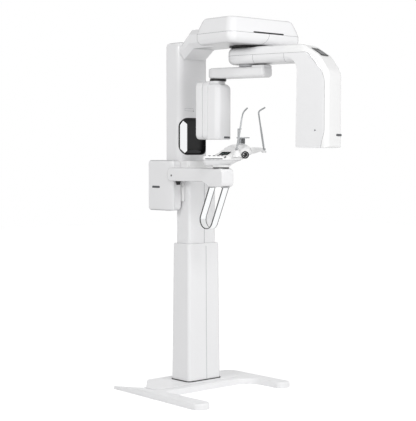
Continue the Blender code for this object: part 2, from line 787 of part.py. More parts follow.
def patient_table(lift, paint, black, glass):
    """The table on the side arm: neck disc, tray, cover and display."""
    arm_top = arm_heights()[0]
    underside, seam, wing, ridge = table_heights()
    turned("table_neck", [(0, 0), (NECK_RADIUS, 0), (NECK_RADIUS, NECK_HEIGHT), (0, NECK_HEIGHT)],
           black, (NECK_X, NECK_Y, arm_top + SEAT), lift)
    plan = table_plan()
    shrunk = [(NECK_X + (x - NECK_X) * TRAY_SHRINK, NECK_Y + (y - NECK_Y) * TRAY_SHRINK)
              for x, y in plan]
    tray = loft("table_tray", [at_height(shrunk, underside), at_height(plan, seam - TABLE_EDGE),
                               at_height(plan, seam)], paint, lift)
    ease(tray, 0.003, 2)
    cover = prism("table_cover", plan, "Z", seam + SEAT, ridge, paint, lift)
    above = ridge + RIDGE_HEIGHT
    beyond = TABLE_LEFT * 2
    over = SLOPE_END_X + (above - ridge) * (SLOPE_END_X - SLOPE_START_X) / (ridge - wing)
    profile = [(beyond, wing), (SLOPE_START_X, wing), (over, above), (beyond, above)]
    cut(cover, prism("slope_cutter", profile, "Y", TABLE_NOSE_Y * 2, 0.0, paint, lift))
    ease(cover, TABLE_EDGE, 3)
    mesh_data = bmesh.new()
    for x, y, top in key_places():
        pocket = [(x + a, y + b) for a, b in key_outline(RUNNING)]
        add_prism(mesh_data, pocket, "Z", top + KEY_PROUD - KEY_HEIGHT - KEY_ROOM, above)
    cut(cover, new_object("key_pockets", mesh_data, paint, lift))

    climb = Vector((SLOPE_END_X - SLOPE_START_X, ridge - wing)).normalized()
    out = Vector((-climb.y, climb.x))
    foot = Vector((SLOPE_START_X, wing)) + climb * DISPLAY_FROM_SLOPE
    slab = [foot + out * SEAT, foot + out * SEAT + climb * DISPLAY_LENGTH,
            foot + out * (SEAT + DISPLAY_THICKNESS) + climb * DISPLAY_LENGTH,
            foot + out * (SEAT + DISPLAY_THICKNESS)]
    prism("display_window", [tuple(point) for point in slab], "Y", DISPLAY_FRONT, DISPLAY_BACK,
          glass, lift)
    return cover


def table_keys(lift, grey):
    """The keys on the table's wing, each pressed straight down."""
    for index, place in enumerate(key_places()):
        axis = pivot(f"table_key_{index + 1}_axis", place, lift)
        key = prism(f"table_key_{index + 1}", key_outline(0.0), "Z", KEY_PROUD - KEY_HEIGHT,
                    KEY_PROUD, grey, axis)
        ease(key, KEY_PROUD / 3, 1)


def hinge_height():
    """Height of the temple rods' hinges."""
    return table_heights()[1] + ROD_HINGE_ABOVE_SEAM


def adjust_knob(lift, black):
    """The knob on the table's long front side that sets the temple rods."""
    start, along, outward = diagonal()
    place = start + along * KNOB_ALONG + outward * SEAT
    place.z = table_heights()[1] + KNOB_ABOVE_SEAM
    profile = [(0, 0), (KNOB_RADIUS, 0), (KNOB_RADIUS, KNOB_DEPTH * 0.7),
               (KNOB_RADIUS * 0.92, KNOB_DEPTH), (KNOB_RADIUS * 0.74, KNOB_DEPTH),
               (KNOB_RADIUS * 0.62, KNOB_DEPTH * 0.45), (KNOB_RADIUS * 0.5, KNOB_DEPTH * 0.45),
               (KNOB_RADIUS * 0.42, KNOB_DEPTH * 0.8), (0, KNOB_DEPTH * 0.8)]
    turned("adjust_knob", profile, black, place, lift, outward)
    return place


def temple_supports(lift, cover, grey, steel):
    """The bracket and post in the table, and the rod that each one carries."""
    height = hinge_height()
    seat = height - HINGE_RADIUS - RUNNING
    low_y = ROD_HINGE_Y - BRACKET_WIDTH / 2

    def add_bar(mesh_data, growth):
        """The bar from inside the table to the right rod."""
        inner = TABLE_RIGHT - BRACKET_INSIDE - growth
        tip = ROD_SPREAD + HINGE_RADIUS * 2
        bar = rounded(rectangle(inner, low_y - growth, tip, low_y + BRACKET_WIDTH + growth),
                      [0, HINGE_RADIUS, HINGE_RADIUS, 0])
        add_prism(mesh_data, bar, "Z", seat - BRACKET_THICKNESS - growth, seat + growth)

    def add_post(mesh_data, growth):
        """The post in the table under the left rod."""
        radius = POST_RADIUS + growth
        add_turned(mesh_data, [(0, seat - POST_DEPTH - growth), (radius, seat - POST_DEPTH - growth),
                               (radius, seat + growth), (0, seat + growth)], 20)
        bmesh.ops.translate(mesh_data, vec=(-ROD_SPREAD, ROD_HINGE_Y, 0), verts=mesh_data.verts)

    for name, shape in (("rod_bracket", add_bar), ("rod_post", add_post)):
        mesh_data = bmesh.new()
        shape(mesh_data, 0.0)
        new_object(name, mesh_data, grey, lift)
        room = bmesh.new()
        shape(room, SEAT)
        cut(cover, new_object(name + "_room", room, grey, lift))

    for side, name in ((-1, "left"), (1, "right")):
        hinge = (side * ROD_SPREAD, ROD_HINGE_Y, height)
        axis = pivot(f"temple_{name}_axis", hinge, lift)
        bend = Vector((side * (TEMPLE_BEND_X - ROD_SPREAD), 0, TEMPLE_BEND_UP))
        tip = Vector((side * (TEMPLE_TIP_X - ROD_SPREAD), TEMPLE_TIP_Y - ROD_HINGE_Y, TEMPLE_TIP_UP))
        mesh_data = bmesh.new()
        add_turned(mesh_data, [(0, -HINGE_LENGTH / 2), (HINGE_RADIUS, -HINGE_LENGTH / 2),
                               (HINGE_RADIUS, HINGE_LENGTH / 2), (0, HINGE_LENGTH / 2)], 20)
        bmesh.ops.rotate(mesh_data, matrix=Matrix.Rotation(math.pi / 2, 3, "X"),
                         verts=mesh_data.verts)
        barrel = new_object(f"temple_rod_{name}", mesh_data, steel, axis)
        rod = bent_rod(f"temple_rod_{name}_stem", bend.normalized() * HINGE_RADIUS * 0.3, bend, tip,
                       steel, axis)
        join(barrel, rod)


def bent_rod(name, start, bend, tip, material, parent):
    """A round rod from a start to a bend, and on to its tip."""
    first = (bend - start).normalized()
    second = (tip - bend).normalized()
    ease_in = bend - first * TEMPLE_ROD_RADIUS * 3
    ease_out = bend + second * TEMPLE_ROD_RADIUS * 3
    places = [start, ease_in]
    headings = [first, first]
    for step in (0.25, 0.5, 0.75):
        places.append(ease_in * (1 - step) ** 2 + bend * 2 * step * (1 - step) + ease_out * step ** 2)
        headings.append(first.lerp(second, step).normalized())
    places += [ease_out, tip - second * TEMPLE_ROD_RADIUS * 0.4, tip]
    headings += [second, second, second]
    loops = []
    for index, (place, heading) in enumerate(zip(places, headings)):
        radius = TEMPLE_ROD_RADIUS * (0.6 if index == len(places) - 1 else 1.0)
        side = heading.cross(Vector((0, 1, 0.3))).normalized()
        other = heading.cross(side).normalized()
        loops.append([place + (side * math.cos(turn) + other * math.sin(turn)) * radius
                      for turn in [math.tau * step / 12 for step in range(12)]])
    return loft(name, [[tuple(point) for point in loop] for loop in loops], material, parent)


def join(piece, other):
    """Make one body of two pieces that overlap."""
    cut(piece, other)
    piece.modifiers[-1].operation = "UNION"


def chin_support(lift, cover, clear_grey, paint):
    """The chin rest on the table's ridge and the bite post behind it."""
    ridge = table_heights()[3]
    low = ridge + SEAT
    stem_top = low + CHIN_STEM_HEIGHT
    stem_back = CHIN_PLATE_BACK - (CHIN_PLATE_BACK - CHIN_Y) / 4
    stem_front = 2 * CHIN_Y - stem_back
    stem = prism("chin_rest", rounded(rectangle(-CHIN_STEM_HALF, stem_front, CHIN_STEM_HALF, stem_back),
                                      0.006, 3), "Z", low, stem_top, clear_grey, lift)
    plate = rounded(rectangle(-CHIN_PLATE_HALF, CHIN_PLATE_FRONT, CHIN_PLATE_HALF, CHIN_PLATE_BACK),
                    [0.022, 0.022, 0.006, 0.006])
    join(stem, prism("chin_plate", plate, "Z", stem_top - CHIN_PLATE_THICKNESS / 2,
                     stem_top + CHIN_PLATE_THICKNESS, clear_grey, lift))

    axis = pivot("bite_post_axis", (0.0, BITE_Y, ridge), lift)
    half = BITE_THICKNESS / 2
    profile = [(half, -BITE_BELOW), (half, BITE_ABOVE), (half - BITE_TIP, BITE_ABOVE),
               (half - BITE_TIP, BITE_ABOVE - BITE_TIP_THICKNESS),
               (-half, BITE_ABOVE - BITE_TIP_THICKNESS), (-half, -BITE_BELOW)]
    prism("bite_post", profile, "X", -BITE_HALF, BITE_HALF, clear_grey, axis)
    room = prism("bite_post_room",
                 rectangle(-BITE_HALF - RUNNING, BITE_Y - half - RUNNING,
                           BITE_HALF + RUNNING, BITE_Y + half + RUNNING),
                 "Z", ridge - BITE_BELOW - SEAT, ridge + BITE_ABOVE, paint, lift)
    cut(cover, room)


def upper_column_top():
    """Height of the upper column's top, which carries the head."""
    return COLLAR_UNDERSIDE + COLLAR_HEIGHT + SEAT + UPPER_HEIGHT


def housing_underside():
    """Height of the head housing's underside, a little below the column's top."""
    return upper_column_top() - HOUSING_DROP


def upper_outline(inset):
    """The upper column's plan outline, shrunk by an inset."""
    corners = rectangle(-UPPER_HALF_X + inset, UPPER_FRONT + inset,
                        UPPER_HALF_X - inset, UPPER_REAR - inset)
    front = max(UPPER_FRONT_CORNER - inset, 0.004)
    rear = max(UPPER_REAR_CORNER - inset, 0.004)
    return rounded(corners, [front, front, rear, rear], 5)


def upper_column(lift, paint, black, mirror):
    """The hollow upper column, its rear cover and the mirror niche."""
    low = COLLAR_UNDERSIDE + COLLAR_HEIGHT + SEAT
    top = upper_column_top()
    shell = loft("upper_column", [
        at_height(upper_outline(0.0), low), at_height(upper_outline(0.0), top - SHOULDER),
        at_height(upper_outline(SHOULDER * 0.3), top - SHOULDER * 0.3),
        at_height(upper_outline(SHOULDER), top)], paint, lift)
    inner = UPPER_HALF_X - UPPER_REAR_CORNER
    floor, roof = low + UPPER_WALL, top - SHOULDER - UPPER_WALL
    cut(shell, prism("upper_hollow", rectangle(-inner, UPPER_FRONT + NICHE_DEPTH + UPPER_WALL,
                                               inner, UPPER_REAR * 2), "Z", floor, roof, paint, lift))
    cover = prism("column_rear_cover", rectangle(-inner + SEAT, UPPER_REAR - UPPER_WALL,
                                                 inner - SEAT, UPPER_REAR),
                  "Z", floor + SEAT, roof - SEAT, paint, lift)
    ease(cover, 0.001, 1)

    back = UPPER_FRONT + NICHE_DEPTH
    niche_low = low + NICHE_LOW

    def niche_outline(inset):
        """The niche's outline in X and Z, shrunk by an inset."""
        return rounded(rectangle(NICHE_LEFT + inset, niche_low + inset, NICHE_RIGHT - inset,
                                 niche_low + NICHE_HEIGHT - inset), NICHE_CORNER - inset, 6)

    cut(shell, prism("niche_hole", niche_outline(0.0), "Y", -UPPER_REAR, back, paint, lift))
    liner = prism("niche_liner", niche_outline(SEAT), "Y", -UPPER_REAR, back - SEAT, black, lift)
    keep_inside(liner, prism("niche_front", upper_outline(NICHE_RECESS), "Z", low, top, black, lift))
    cut(liner, prism("niche_pocket", niche_outline(NICHE_WALL), "Y", -UPPER_REAR,
                     back - NICHE_WALL, black, lift))
    floor_y = back - NICHE_WALL - SEAT
    left = NICHE_LEFT + NICHE_WALL + RUNNING
    facet = [(left, floor_y - MIRROR_LEAN), (left + MIRROR_WIDTH, floor_y - MIRROR_THICKNESS),
             (left + MIRROR_WIDTH, floor_y), (left, floor_y - MIRROR_LEAN + MIRROR_THICKNESS)]
    prism("mirror_facet", facet, "Z", niche_low + MIRROR_MARGIN,
          niche_low + NICHE_HEIGHT - MIRROR_MARGIN, mirror, lift)


def top_bracket(lift, paint):
    """The bracket that carries the head housing in front of the column."""
    column_top = upper_column_top()
    rear = UPPER_FRONT - SEAT
    front = -HOUSING_REAR + SEAT
    top = column_top + BRACKET_TOP_RISE
    low = housing_underside() + HOUSING_WALL * 2
    points = [(rear, column_top - BRACKET_ROOT_DROP), (rear, column_top),
              (BRACKET_KNEE_TOP, top), (front, top), (front, low), (BRACKET_KNEE_FRONT, low)]
    bracket = prism("top_bracket", rounded(points, [0, 0, 0.03, 0, 0, 0.03]), "X",
                    -BRACKET_HALF_X, BRACKET_HALF_X, paint, lift)
    ease(bracket, BRACKET_EDGE, 2)


def housing_outline(inset):
    """The head housing's plan outline, shrunk by an inset."""
    corners = rectangle(-HOUSING_HALF_X + inset, -HOUSING_FRONT + inset,
                        HOUSING_HALF_X - inset, -HOUSING_REAR - inset)
    return rounded(corners, max(HOUSING_CORNER - inset, 0.006), 5)


def head_housing(lift, paint, black):
    """The lower tray, the upper cover and the dark slit between them."""
    low = housing_underside()
    seam = low + HOUSING_LOWER_HEIGHT
    deep = HOUSING_CHAMFER + HOUSING_WALL
    tray = loft("housing_lower", [
        at_height(housing_outline(HOUSING_CHAMFER), low),
        at_height(housing_outline(HOUSING_CHAMFER * 0.25), low + HOUSING_CHAMFER * 0.8),
        at_height(housing_outline(0.0), low + HOUSING_CHAMFER * 1.8),
        at_height(housing_outline(0.0), seam),
        at_height(housing_outline(HOUSING_WALL), seam),
        at_height(housing_outline(HOUSING_WALL), low + HOUSING_CHAMFER * 1.8),
        at_height(housing_outline(deep), low + HOUSING_WALL)], paint, lift)
    hole = SPINDLE_RADIUS + STAGE_TRAVEL + SLIDE_PLAY
    cut(tray, turned("spindle_hole", [(0, low - HOUSING_WALL), (hole, low - HOUSING_WALL),
                                      (hole, seam), (0, seam)], paint, (0, ROTOR_Y, 0), lift))

    base = seam + SEAT
    top = base + HOUSING_UPPER_HEIGHT
    slant = HOUSING_TOP_SLANT
    cover = loft("housing_upper", [
        at_height(housing_outline(slant + HOUSING_WALL * 2), top - HOUSING_WALL),
        at_height(housing_outline(slant * 0.35 + HOUSING_WALL * 1.3), top - HOUSING_UPPER_HEIGHT * 0.5),
        at_height(housing_outline(HOUSING_WALL), base),
        at_height(housing_outline(0.0), base),
        at_height(housing_outline(slant * 0.35), top - HOUSING_UPPER_HEIGHT * 0.45),
        at_height(housing_outline(slant * 0.7), top - HOUSING_UPPER_HEIGHT * 0.12),
        at_height(housing_outline(slant), top - HOUSING_UPPER_HEIGHT * 0.03),
        at_height(housing_outline(slant * 1.4), top)], paint, lift)
    cut(cover, prism("slit_opening", rectangle(SLIT_LEFT, -HOUSING_FRONT * 1.1, SLIT_RIGHT,
                                               -HOUSING_FRONT + HOUSING_WALL * 2),
                     "Z", base - SLIT_HEIGHT, base + SLIT_HEIGHT + SEAT, paint, lift))
    prism("housing_slit", rectangle(SLIT_LEFT + SEAT, -HOUSING_FRONT + SLIT_RECESS, SLIT_RIGHT - SEAT,
                                    -HOUSING_FRONT + HOUSING_WALL),
          "Z", base, base + SLIT_HEIGHT, black, lift)


def rail_base():
    """Height of the stage rails' seat inside the housing."""
    return housing_underside() + HOUSING_WALL + SEAT


def stage_base():
    """Height of the moving stage plate's underside."""
    return rail_base() + RAIL_HEIGHT + RUNNING


def focus_stage(lift, stage, steel, dark):
    """The rails in the housing and the stage plate with its ring and motor."""
    half_x = RAIL_SPACING + RAIL_WIDTH / 2
    half_y = RAIL_LENGTH / 2
    outer = rectangle(-half_x, ROTOR_Y - half_y, half_x, ROTOR_Y + half_y)
    inner = rectangle(-half_x + RAIL_WIDTH, ROTOR_Y - half_y + RAIL_WIDTH,
                      half_x - RAIL_WIDTH, ROTOR_Y + half_y - RAIL_WIDTH)
    base = rail_base()
    sleeve("stage_rail_frame", [at_height(outer, base), at_height(outer, base + RAIL_HEIGHT),
                                at_height(inner, base + RAIL_HEIGHT), at_height(inner, base)],
           steel, lift)

    low = stage_base()
    high = low + STAGE_THICKNESS
    plate = prism("stage_plate", rounded(rectangle(-STAGE_HALF_X, -STAGE_HALF_Y,
                                                   STAGE_HALF_X, STAGE_HALF_Y), 0.012, 2),
                  "Z", low, high, steel, stage)
    bore = SPINDLE_RADIUS + RUNNING
    cut(plate, turned("stage_bore", [(0, low - STAGE_THICKNESS), (bore, low - STAGE_THICKNESS),
                                     (bore, high + STAGE_THICKNESS), (0, high + STAGE_THICKNESS)],
                      steel, parent=stage))
    turned("slewing_ring", [(bore, high + SEAT), (SLEW_RING_RADIUS, high + SEAT),
                            (SLEW_RING_RADIUS, high + SEAT + SLEW_RING_HEIGHT),
                            (bore, high + SEAT + SLEW_RING_HEIGHT)], dark, parent=stage, closed=True)
    turned("turn_motor", [(0, high + SEAT), (TURN_MOTOR_RADIUS, high + SEAT),
                          (TURN_MOTOR_RADIUS, high + SEAT + TURN_MOTOR_HEIGHT),
                          (0, high + SEAT + TURN_MOTOR_HEIGHT)], dark, (TURN_MOTOR_X, 0, 0), stage,
           steps=24)
    return high + SEAT + SLEW_RING_HEIGHT


def tube_arm_top():
    """Height of the tube arm's top face."""
    return housing_underside() - RUNNING - TURNTABLE_THICKNESS - SEAT


def turntable(rotor, ring_top, black):
    """The disc, spindle and flange that hang the rotor from its ring."""
    low = tube_arm_top() + SEAT
    shoulder = low + TURNTABLE_THICKNESS
    flange = ring_top + RUNNING
    turned("turntable", [(0, low), (TURNTABLE_RADIUS, low), (TURNTABLE_RADIUS, shoulder),
                         (SPINDLE_RADIUS, shoulder), (SPINDLE_RADIUS, flange),
                         (FLANGE_RADIUS, flange), (FLANGE_RADIUS, flange + FLANGE_THICKNESS),
                         (0, flange + FLANGE_THICKNESS)], black, parent=rotor)


def tube_arm_outline(inset):
    """The tube arm's plan outline with its round rear end."""
    half = TUBE_ARM_HALF - inset
    corners = rectangle(-TUBE_ARM_REAR + inset, -half, TUBE_ARM_REACH, half)
    rear = min(TUBE_ARM_REAR, TUBE_ARM_HALF) - inset - 0.002
    return rounded(corners, [rear, 0.002, 0.002, rear], 6)


def tube_arm(rotor, paint):
    """The two shells of the arm that carries the tube head."""
    top = tube_arm_top()
    middle = top - TUBE_ARM_THICKNESS / 2
    low = top - TUBE_ARM_THICKNESS
    edge = TUBE_ARM_EDGE
    loft("tube_arm_lower", [
        at_height(tube_arm_outline(edge), low), at_height(tube_arm_outline(edge * 0.3), low + edge * 0.3),
        at_height(tube_arm_outline(0.0), low + edge), at_height(tube_arm_outline(0.0), middle)],
         paint, rotor)
    loft("tube_arm_cover", [
        at_height(tube_arm_outline(0.0), middle + SEAT), at_height(tube_arm_outline(0.0), top - edge),
        at_height(tube_arm_outline(edge * 0.3), top - edge * 0.3), at_height(tube_arm_outline(edge), top)],
         paint, rotor)


def tube_head(rotor, paint, white, dark, glass, brass):
    """The X-ray head: body, outer cover, window, tube block, collimator."""
    top = tube_arm_top()
    low = top - HEAD_HEIGHT
    arm_low = top - TUBE_ARM_THICKNESS
    middle = top - TUBE_ARM_THICKNESS / 2
    seam_side = top - HEAD_SEAM_DROP
    root = TUBE_ARM_REACH + SEAT
    points = [(root, arm_low), (HEAD_INNER, arm_low), (HEAD_INNER - HEAD_TAPER, low), (HEAD_SEAM, low),
              (HEAD_SEAM, seam_side), (HEAD_SHOULDER_R, middle), (root, middle)]
    radii = [0, HEAD_INNER_BEND, HEAD_EDGE, 0, HEAD_SEAM_BEND, HEAD_SHOULDER_BEND, 0]
    body = prism("tube_head_body", rounded(points, radii), "Y", -TUBE_ARM_HALF, TUBE_ARM_HALF,
                 paint, rotor)
    ease(body, HEAD_EDGE, 2)
    hollow_low = low + HEAD_HOLLOW_LOW
    hollow = rounded(rectangle(-HEAD_HOLLOW_HALF, hollow_low, HEAD_HOLLOW_HALF,
                               hollow_low + HEAD_HOLLOW_HEIGHT), 0.012, 2)
    inner = HEAD_INNER + HEAD_WALL
    cut(body, prism("head_hollow", hollow, "X", inner, HEAD_OUTER * 1.2, paint, rotor))

    slope = Vector((HEAD_SLOPE_R, top - HEAD_SLOPE_DROP))
    crown = Vector((HEAD_CROWN_R, top))
    outer = [(root, middle + SEAT), (HEAD_SHOULDER_R + SEAT, middle + SEAT),
             (HEAD_SEAM + SEAT, seam_side + SEAT), (HEAD_SEAM + SEAT, low), (HEAD_OUTER, low),
             (HEAD_OUTER, top - HEAD_SIDE_DROP), tuple(slope), tuple(crown), (root, top)]
    cover = prism("tube_head_cover",
                  rounded(outer, [0, HEAD_SHOULDER_BEND, HEAD_SEAM_BEND, 0, HEAD_EDGE, HEAD_SIDE_BEND,
                                  HEAD_SLOPE_BEND, HEAD_CROWN_BEND, 0]), "Y",
                  -TUBE_ARM_HALF, TUBE_ARM_HALF, white, rotor)
    ease(cover, HEAD_EDGE, 2)

    fall = (slope - crown).normalized()
    out = Vector((-fall.y, fall.x))
    centre = crown.lerp(slope, 0.5)
    slab = [centre - fall * WINDOW_LENGTH / 2 + out * SEAT, centre + fall * WINDOW_LENGTH / 2 + out * SEAT]
    slab += [point + out * WINDOW_THICKNESS for point in reversed(slab)]
    prism("status_window", [tuple(point) for point in slab], "Y", -WINDOW_HALF, WINDOW_HALF,
          glass, rotor)

    block_low = low + TUBE_BLOCK_LOW
    block = prism("xray_tube_block", rectangle(-TUBE_BLOCK_HALF, block_low, TUBE_BLOCK_HALF,
                                               block_low + TUBE_BLOCK_HEIGHT), "X",
                  inner + SEAT, inner + SEAT + TUBE_BLOCK_DEPTH, dark, rotor)
    ease(block, HEAD_EDGE, 1)
    port_low = block_low + (TUBE_BLOCK_HEIGHT - COLLIMATOR_HEIGHT) / 2
    port_top = port_low + COLLIMATOR_HEIGHT
    lean = HEAD_TAPER / (arm_low - low)
    plate = [(HEAD_INNER - SEAT - lean * (arm_low - z), z) for z in (port_low, port_top)]
    plate += [(r - COLLIMATOR_THICKNESS, z) for r, z in reversed(plate)]
    port = prism("collimator", plate, "Y", -COLLIMATOR_HALF, COLLIMATOR_HALF, brass, rotor)
    cut(port, prism("collimator_slot", rectangle(-COLLIMATOR_SLOT / 2, port_low + COLLIMATOR_SLOT * 2,
                                                 COLLIMATOR_SLOT / 2, port_top - COLLIMATOR_SLOT * 2),
                    "X", HEAD_INNER - COLLIMATOR_THICKNESS * 4,
                    HEAD_INNER - COLLIMATOR_THICKNESS * 1.5, brass, rotor))


def detector_arm_outline(inset):
    """The detector arm's plan outline, round at the detector's end."""
    half = DETECTOR_ARM_HALF - inset
    corners = rectangle(-DETECTOR_R - half, -half, DETECTOR_ARM_FRONT - inset, half)
    return rounded(corners, [half - 0.001, half * 0.4, half * 0.4, half - 0.001], 6)


def detector_arm(swing, paint, grey):
    """The arm under the tube arm, on its pivot disc."""
    pivot_top = tube_arm_top() - TUBE_ARM_THICKNESS - SEAT
    turned("pivot_disc", [(0, pivot_top - PIVOT_HEIGHT), (PIVOT_RADIUS, pivot_top - PIVOT_HEIGHT),
                          (PIVOT_RADIUS, pivot_top), (0, pivot_top)], grey, parent=swing)
    top = pivot_top - PIVOT_HEIGHT - SEAT
    low = top - DETECTOR_ARM_THICKNESS
    edge = DETECTOR_EDGE
    loft("detector_arm", [
        at_height(detector_arm_outline(edge), low), at_height(detector_arm_outline(0.0), low + edge),
        at_height(detector_arm_outline(0.0), top - edge), at_height(detector_arm_outline(edge), top)],
         paint, swing)
    return low


def detector_head(head, arm_low, paint, black, dark):
    """The detector: neck ring, front body, middle slab, back and sensor."""
    neck_top = arm_low - SEAT
    turned("detector_neck", [(0, neck_top - DETECTOR_NECK_HEIGHT),
                             (DETECTOR_NECK_RADIUS, neck_top - DETECTOR_NECK_HEIGHT),
                             (DETECTOR_NECK_RADIUS, neck_top), (0, neck_top)], black, parent=head)
    top = neck_top - DETECTOR_NECK_HEIGHT - SEAT
    low = top - DETECTOR_HEIGHT
    shoulder = top - DETECTOR_SHOULDER_DROP
    front = DETECTOR_R - DETECTOR_FRONT_R
    rear = front - DETECTOR_FRONT_DEPTH

    def front_outline(inset):
        """The front body's outline, shrunk by an inset on its open sides."""
        corners = rectangle(rear, -DETECTOR_HALF + inset, front - inset, DETECTOR_HALF - inset)
        corner = max(DETECTOR_CORNER - inset, 0.004)
        return rounded(corners, [0.001, corner, corner, 0.001], 5)

    body = loft("detector_front", [
        at_height(front_outline(DETECTOR_EDGE), low), at_height(front_outline(0.0), low + DETECTOR_EDGE),
        at_height(front_outline(0.0), shoulder - DETECTOR_SHOULDER_DROP),
        at_height(front_outline(DETECTOR_SHOULDER_DROP * 0.4), shoulder),
        at_height(front_outline(DETECTOR_SHOULDER_DROP * 1.6), top)], paint, head)
    window = rectangle(-DETECTOR_HALF + DETECTOR_WALL, low + DETECTOR_WALL * 2,
                       DETECTOR_HALF - DETECTOR_WALL, shoulder - DETECTOR_WALL * 3)
    cut(body, prism("sensor_hollow", window, "X", rear - DETECTOR_WALL, front - DETECTOR_WALL,
                    paint, head))
    prism("sensor_panel", rectangle(-DETECTOR_HALF + SENSOR_MARGIN, low + DETECTOR_WALL * 2 + SEAT,
                                    DETECTOR_HALF - SENSOR_MARGIN, shoulder - SENSOR_MARGIN * 3),
          "X", front - DETECTOR_WALL - SEAT - SENSOR_THICKNESS, front - DETECTOR_WALL - SEAT, dark, head)

    slab = rounded(rectangle(-DETECTOR_HALF, low, DETECTOR_HALF, shoulder), DETECTOR_CORNER, 5)
    mid_rear = rear - SEAT - DETECTOR_MID_DEPTH
    middle = prism("detector_middle", slab, "X", mid_rear, rear - SEAT, paint, head)
    ease(middle, DETECTOR_EDGE * 0.4, 2)
    back = prism("detector_back", slab, "X", mid_rear - SEAT - DETECTOR_BACK_DEPTH, mid_rear - SEAT,
                 paint, head)
    ease(back, DETECTOR_EDGE, 2)


def build():
    """Make every piece of the scanner."""
    clear_scene()
    paint = finish("white_painted_cover", (0.86, 0.86, 0.86), 0.35)
    white = finish("white_moulded_cover", (0.90, 0.90, 0.90), 0.30)
    black = finish("black_plastic", (0.02, 0.02, 0.02), 0.40)
    grey = finish("grey_plastic", (0.55, 0.55, 0.55), 0.45)
    dark = finish("dark_housing_metal", (0.12, 0.12, 0.13), 0.50, 0.6)
    steel = finish("polished_steel", (0.72, 0.72, 0.72), 0.15, 1.0)
    rubber = finish("black_rubber", (0.03, 0.03, 0.03), 0.80)
    nylon = finish("natural_nylon", (0.75, 0.73, 0.68), 0.55)
    glass = finish("dark_display_glass", (0.015, 0.015, 0.018), 0.08)
    mirror = finish("mirror_glass", (0.90, 0.90, 0.90), 0.03, 1.0)
    clear_grey = finish("clear_grey_plastic", (0.62, 0.62, 0.63), 0.20)
    board_green = finish("circuit_board", (0.05, 0.25, 0.12), 0.50)
    brass = finish("collimator_brass", (0.65, 0.50, 0.25), 0.35, 1.0)

    floor = floor_base(paint)
    column_sleeve(floor, paint, rubber, nylon)
    lift = pivot("column_lift_axis", (0, 0, 0))
    telescoping_column(lift, paint)
    lift_actuator(floor, lift, dark, steel)
    carriage_collar(lift, paint)
    box_left = side_box(lift, paint, board_green)
    side_arm(lift, box_left, paint)
    stop_button(lift, black)
    grip_loop(lift, steel, black)
    cover = patient_table(lift, paint, black, glass)
    table_keys(lift, grey)
    adjust_knob(lift, black)
    temple_supports(lift, cover, grey, steel)
    chin_support(lift, cover, clear_grey, paint)
    upper_column(lift, paint, black, mirror)
    top_bracket(lift, paint)
    head_housing(lift, paint, black)

    stage = pivot("stage_slide_axis", (0, ROTOR_Y, 0), lift)
    ring_top = focus_stage(lift, stage, steel, dark)
    rotor = pivot("rotor_axis", (0, 0, 0), stage, ROTOR_REST_TURN)
    turntable(rotor, ring_top, black)
    tube_arm(rotor, paint)
    tube_head(rotor, paint, white, dark, glass, brass)
    swing = pivot("detector_arm_axis", (0, 0, 0), rotor)
    arm_low = detector_arm(swing, paint, grey)
    head = pivot("detector_head_axis", (-DETECTOR_R, 0, 0), swing)
    detector_head(head, arm_low, paint, black, dark)


build()
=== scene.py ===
"""Dental cone beam CT scanner: the finished surfaces of its pieces.

Laid out as an add-on and run as a script. Metres, +Z up, the patient stands
on the -Y side. Every piece rides on the body that carries it.
"""
import json
import math

import bmesh
import bpy
from mathutils import Matrix, Vector

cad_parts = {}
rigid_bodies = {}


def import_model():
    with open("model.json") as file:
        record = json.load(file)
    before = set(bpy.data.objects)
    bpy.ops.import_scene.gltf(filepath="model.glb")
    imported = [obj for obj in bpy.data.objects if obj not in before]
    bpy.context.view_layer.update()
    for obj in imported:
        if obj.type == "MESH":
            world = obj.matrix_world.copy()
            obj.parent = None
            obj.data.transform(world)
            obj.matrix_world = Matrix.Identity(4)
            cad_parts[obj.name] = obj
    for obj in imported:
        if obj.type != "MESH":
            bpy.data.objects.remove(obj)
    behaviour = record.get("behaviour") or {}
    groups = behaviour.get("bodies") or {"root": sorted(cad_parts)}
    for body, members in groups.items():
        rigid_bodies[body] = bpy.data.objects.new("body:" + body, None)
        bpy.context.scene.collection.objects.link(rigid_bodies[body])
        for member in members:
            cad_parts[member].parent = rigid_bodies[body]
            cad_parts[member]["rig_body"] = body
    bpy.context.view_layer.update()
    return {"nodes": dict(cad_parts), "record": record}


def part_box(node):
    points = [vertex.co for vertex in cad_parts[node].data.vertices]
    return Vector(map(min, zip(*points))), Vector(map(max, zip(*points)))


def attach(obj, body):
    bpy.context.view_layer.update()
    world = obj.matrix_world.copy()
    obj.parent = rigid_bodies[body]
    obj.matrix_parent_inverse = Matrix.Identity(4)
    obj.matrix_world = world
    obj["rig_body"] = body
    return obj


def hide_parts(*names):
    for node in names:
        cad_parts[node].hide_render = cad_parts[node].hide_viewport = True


bl_info = {
    "name": "Cone beam scanner",
    "version": (1, 0, 0),
    "blender": (4, 5, 0),
    "location": "View3D > Sidebar > Scanner",
    "description": "Builds the finished surfaces of a dental cone beam CT scanner",
    "category": "Add Mesh",
}

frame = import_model()
slots = {row["node"]: row["material_slot"] for row in frame["record"]["subparts"]}

# The head's vertical axis, how far joint lines stand out, how far cutters reach past a piece
axis_y, hair, past = -0.46, 0.0003, 0.01
# Middle of the grip strap's width
strap_x = -0.150


def tone(code):
    """Linear colour of an sRGB hex value."""
    parts = [int(code[at:at + 2], 16) / 255 for at in (0, 2, 4)]
    return [part / 12.92 if part <= 0.04045 else ((part + 0.055) / 1.055) ** 2.4 for part in parts]


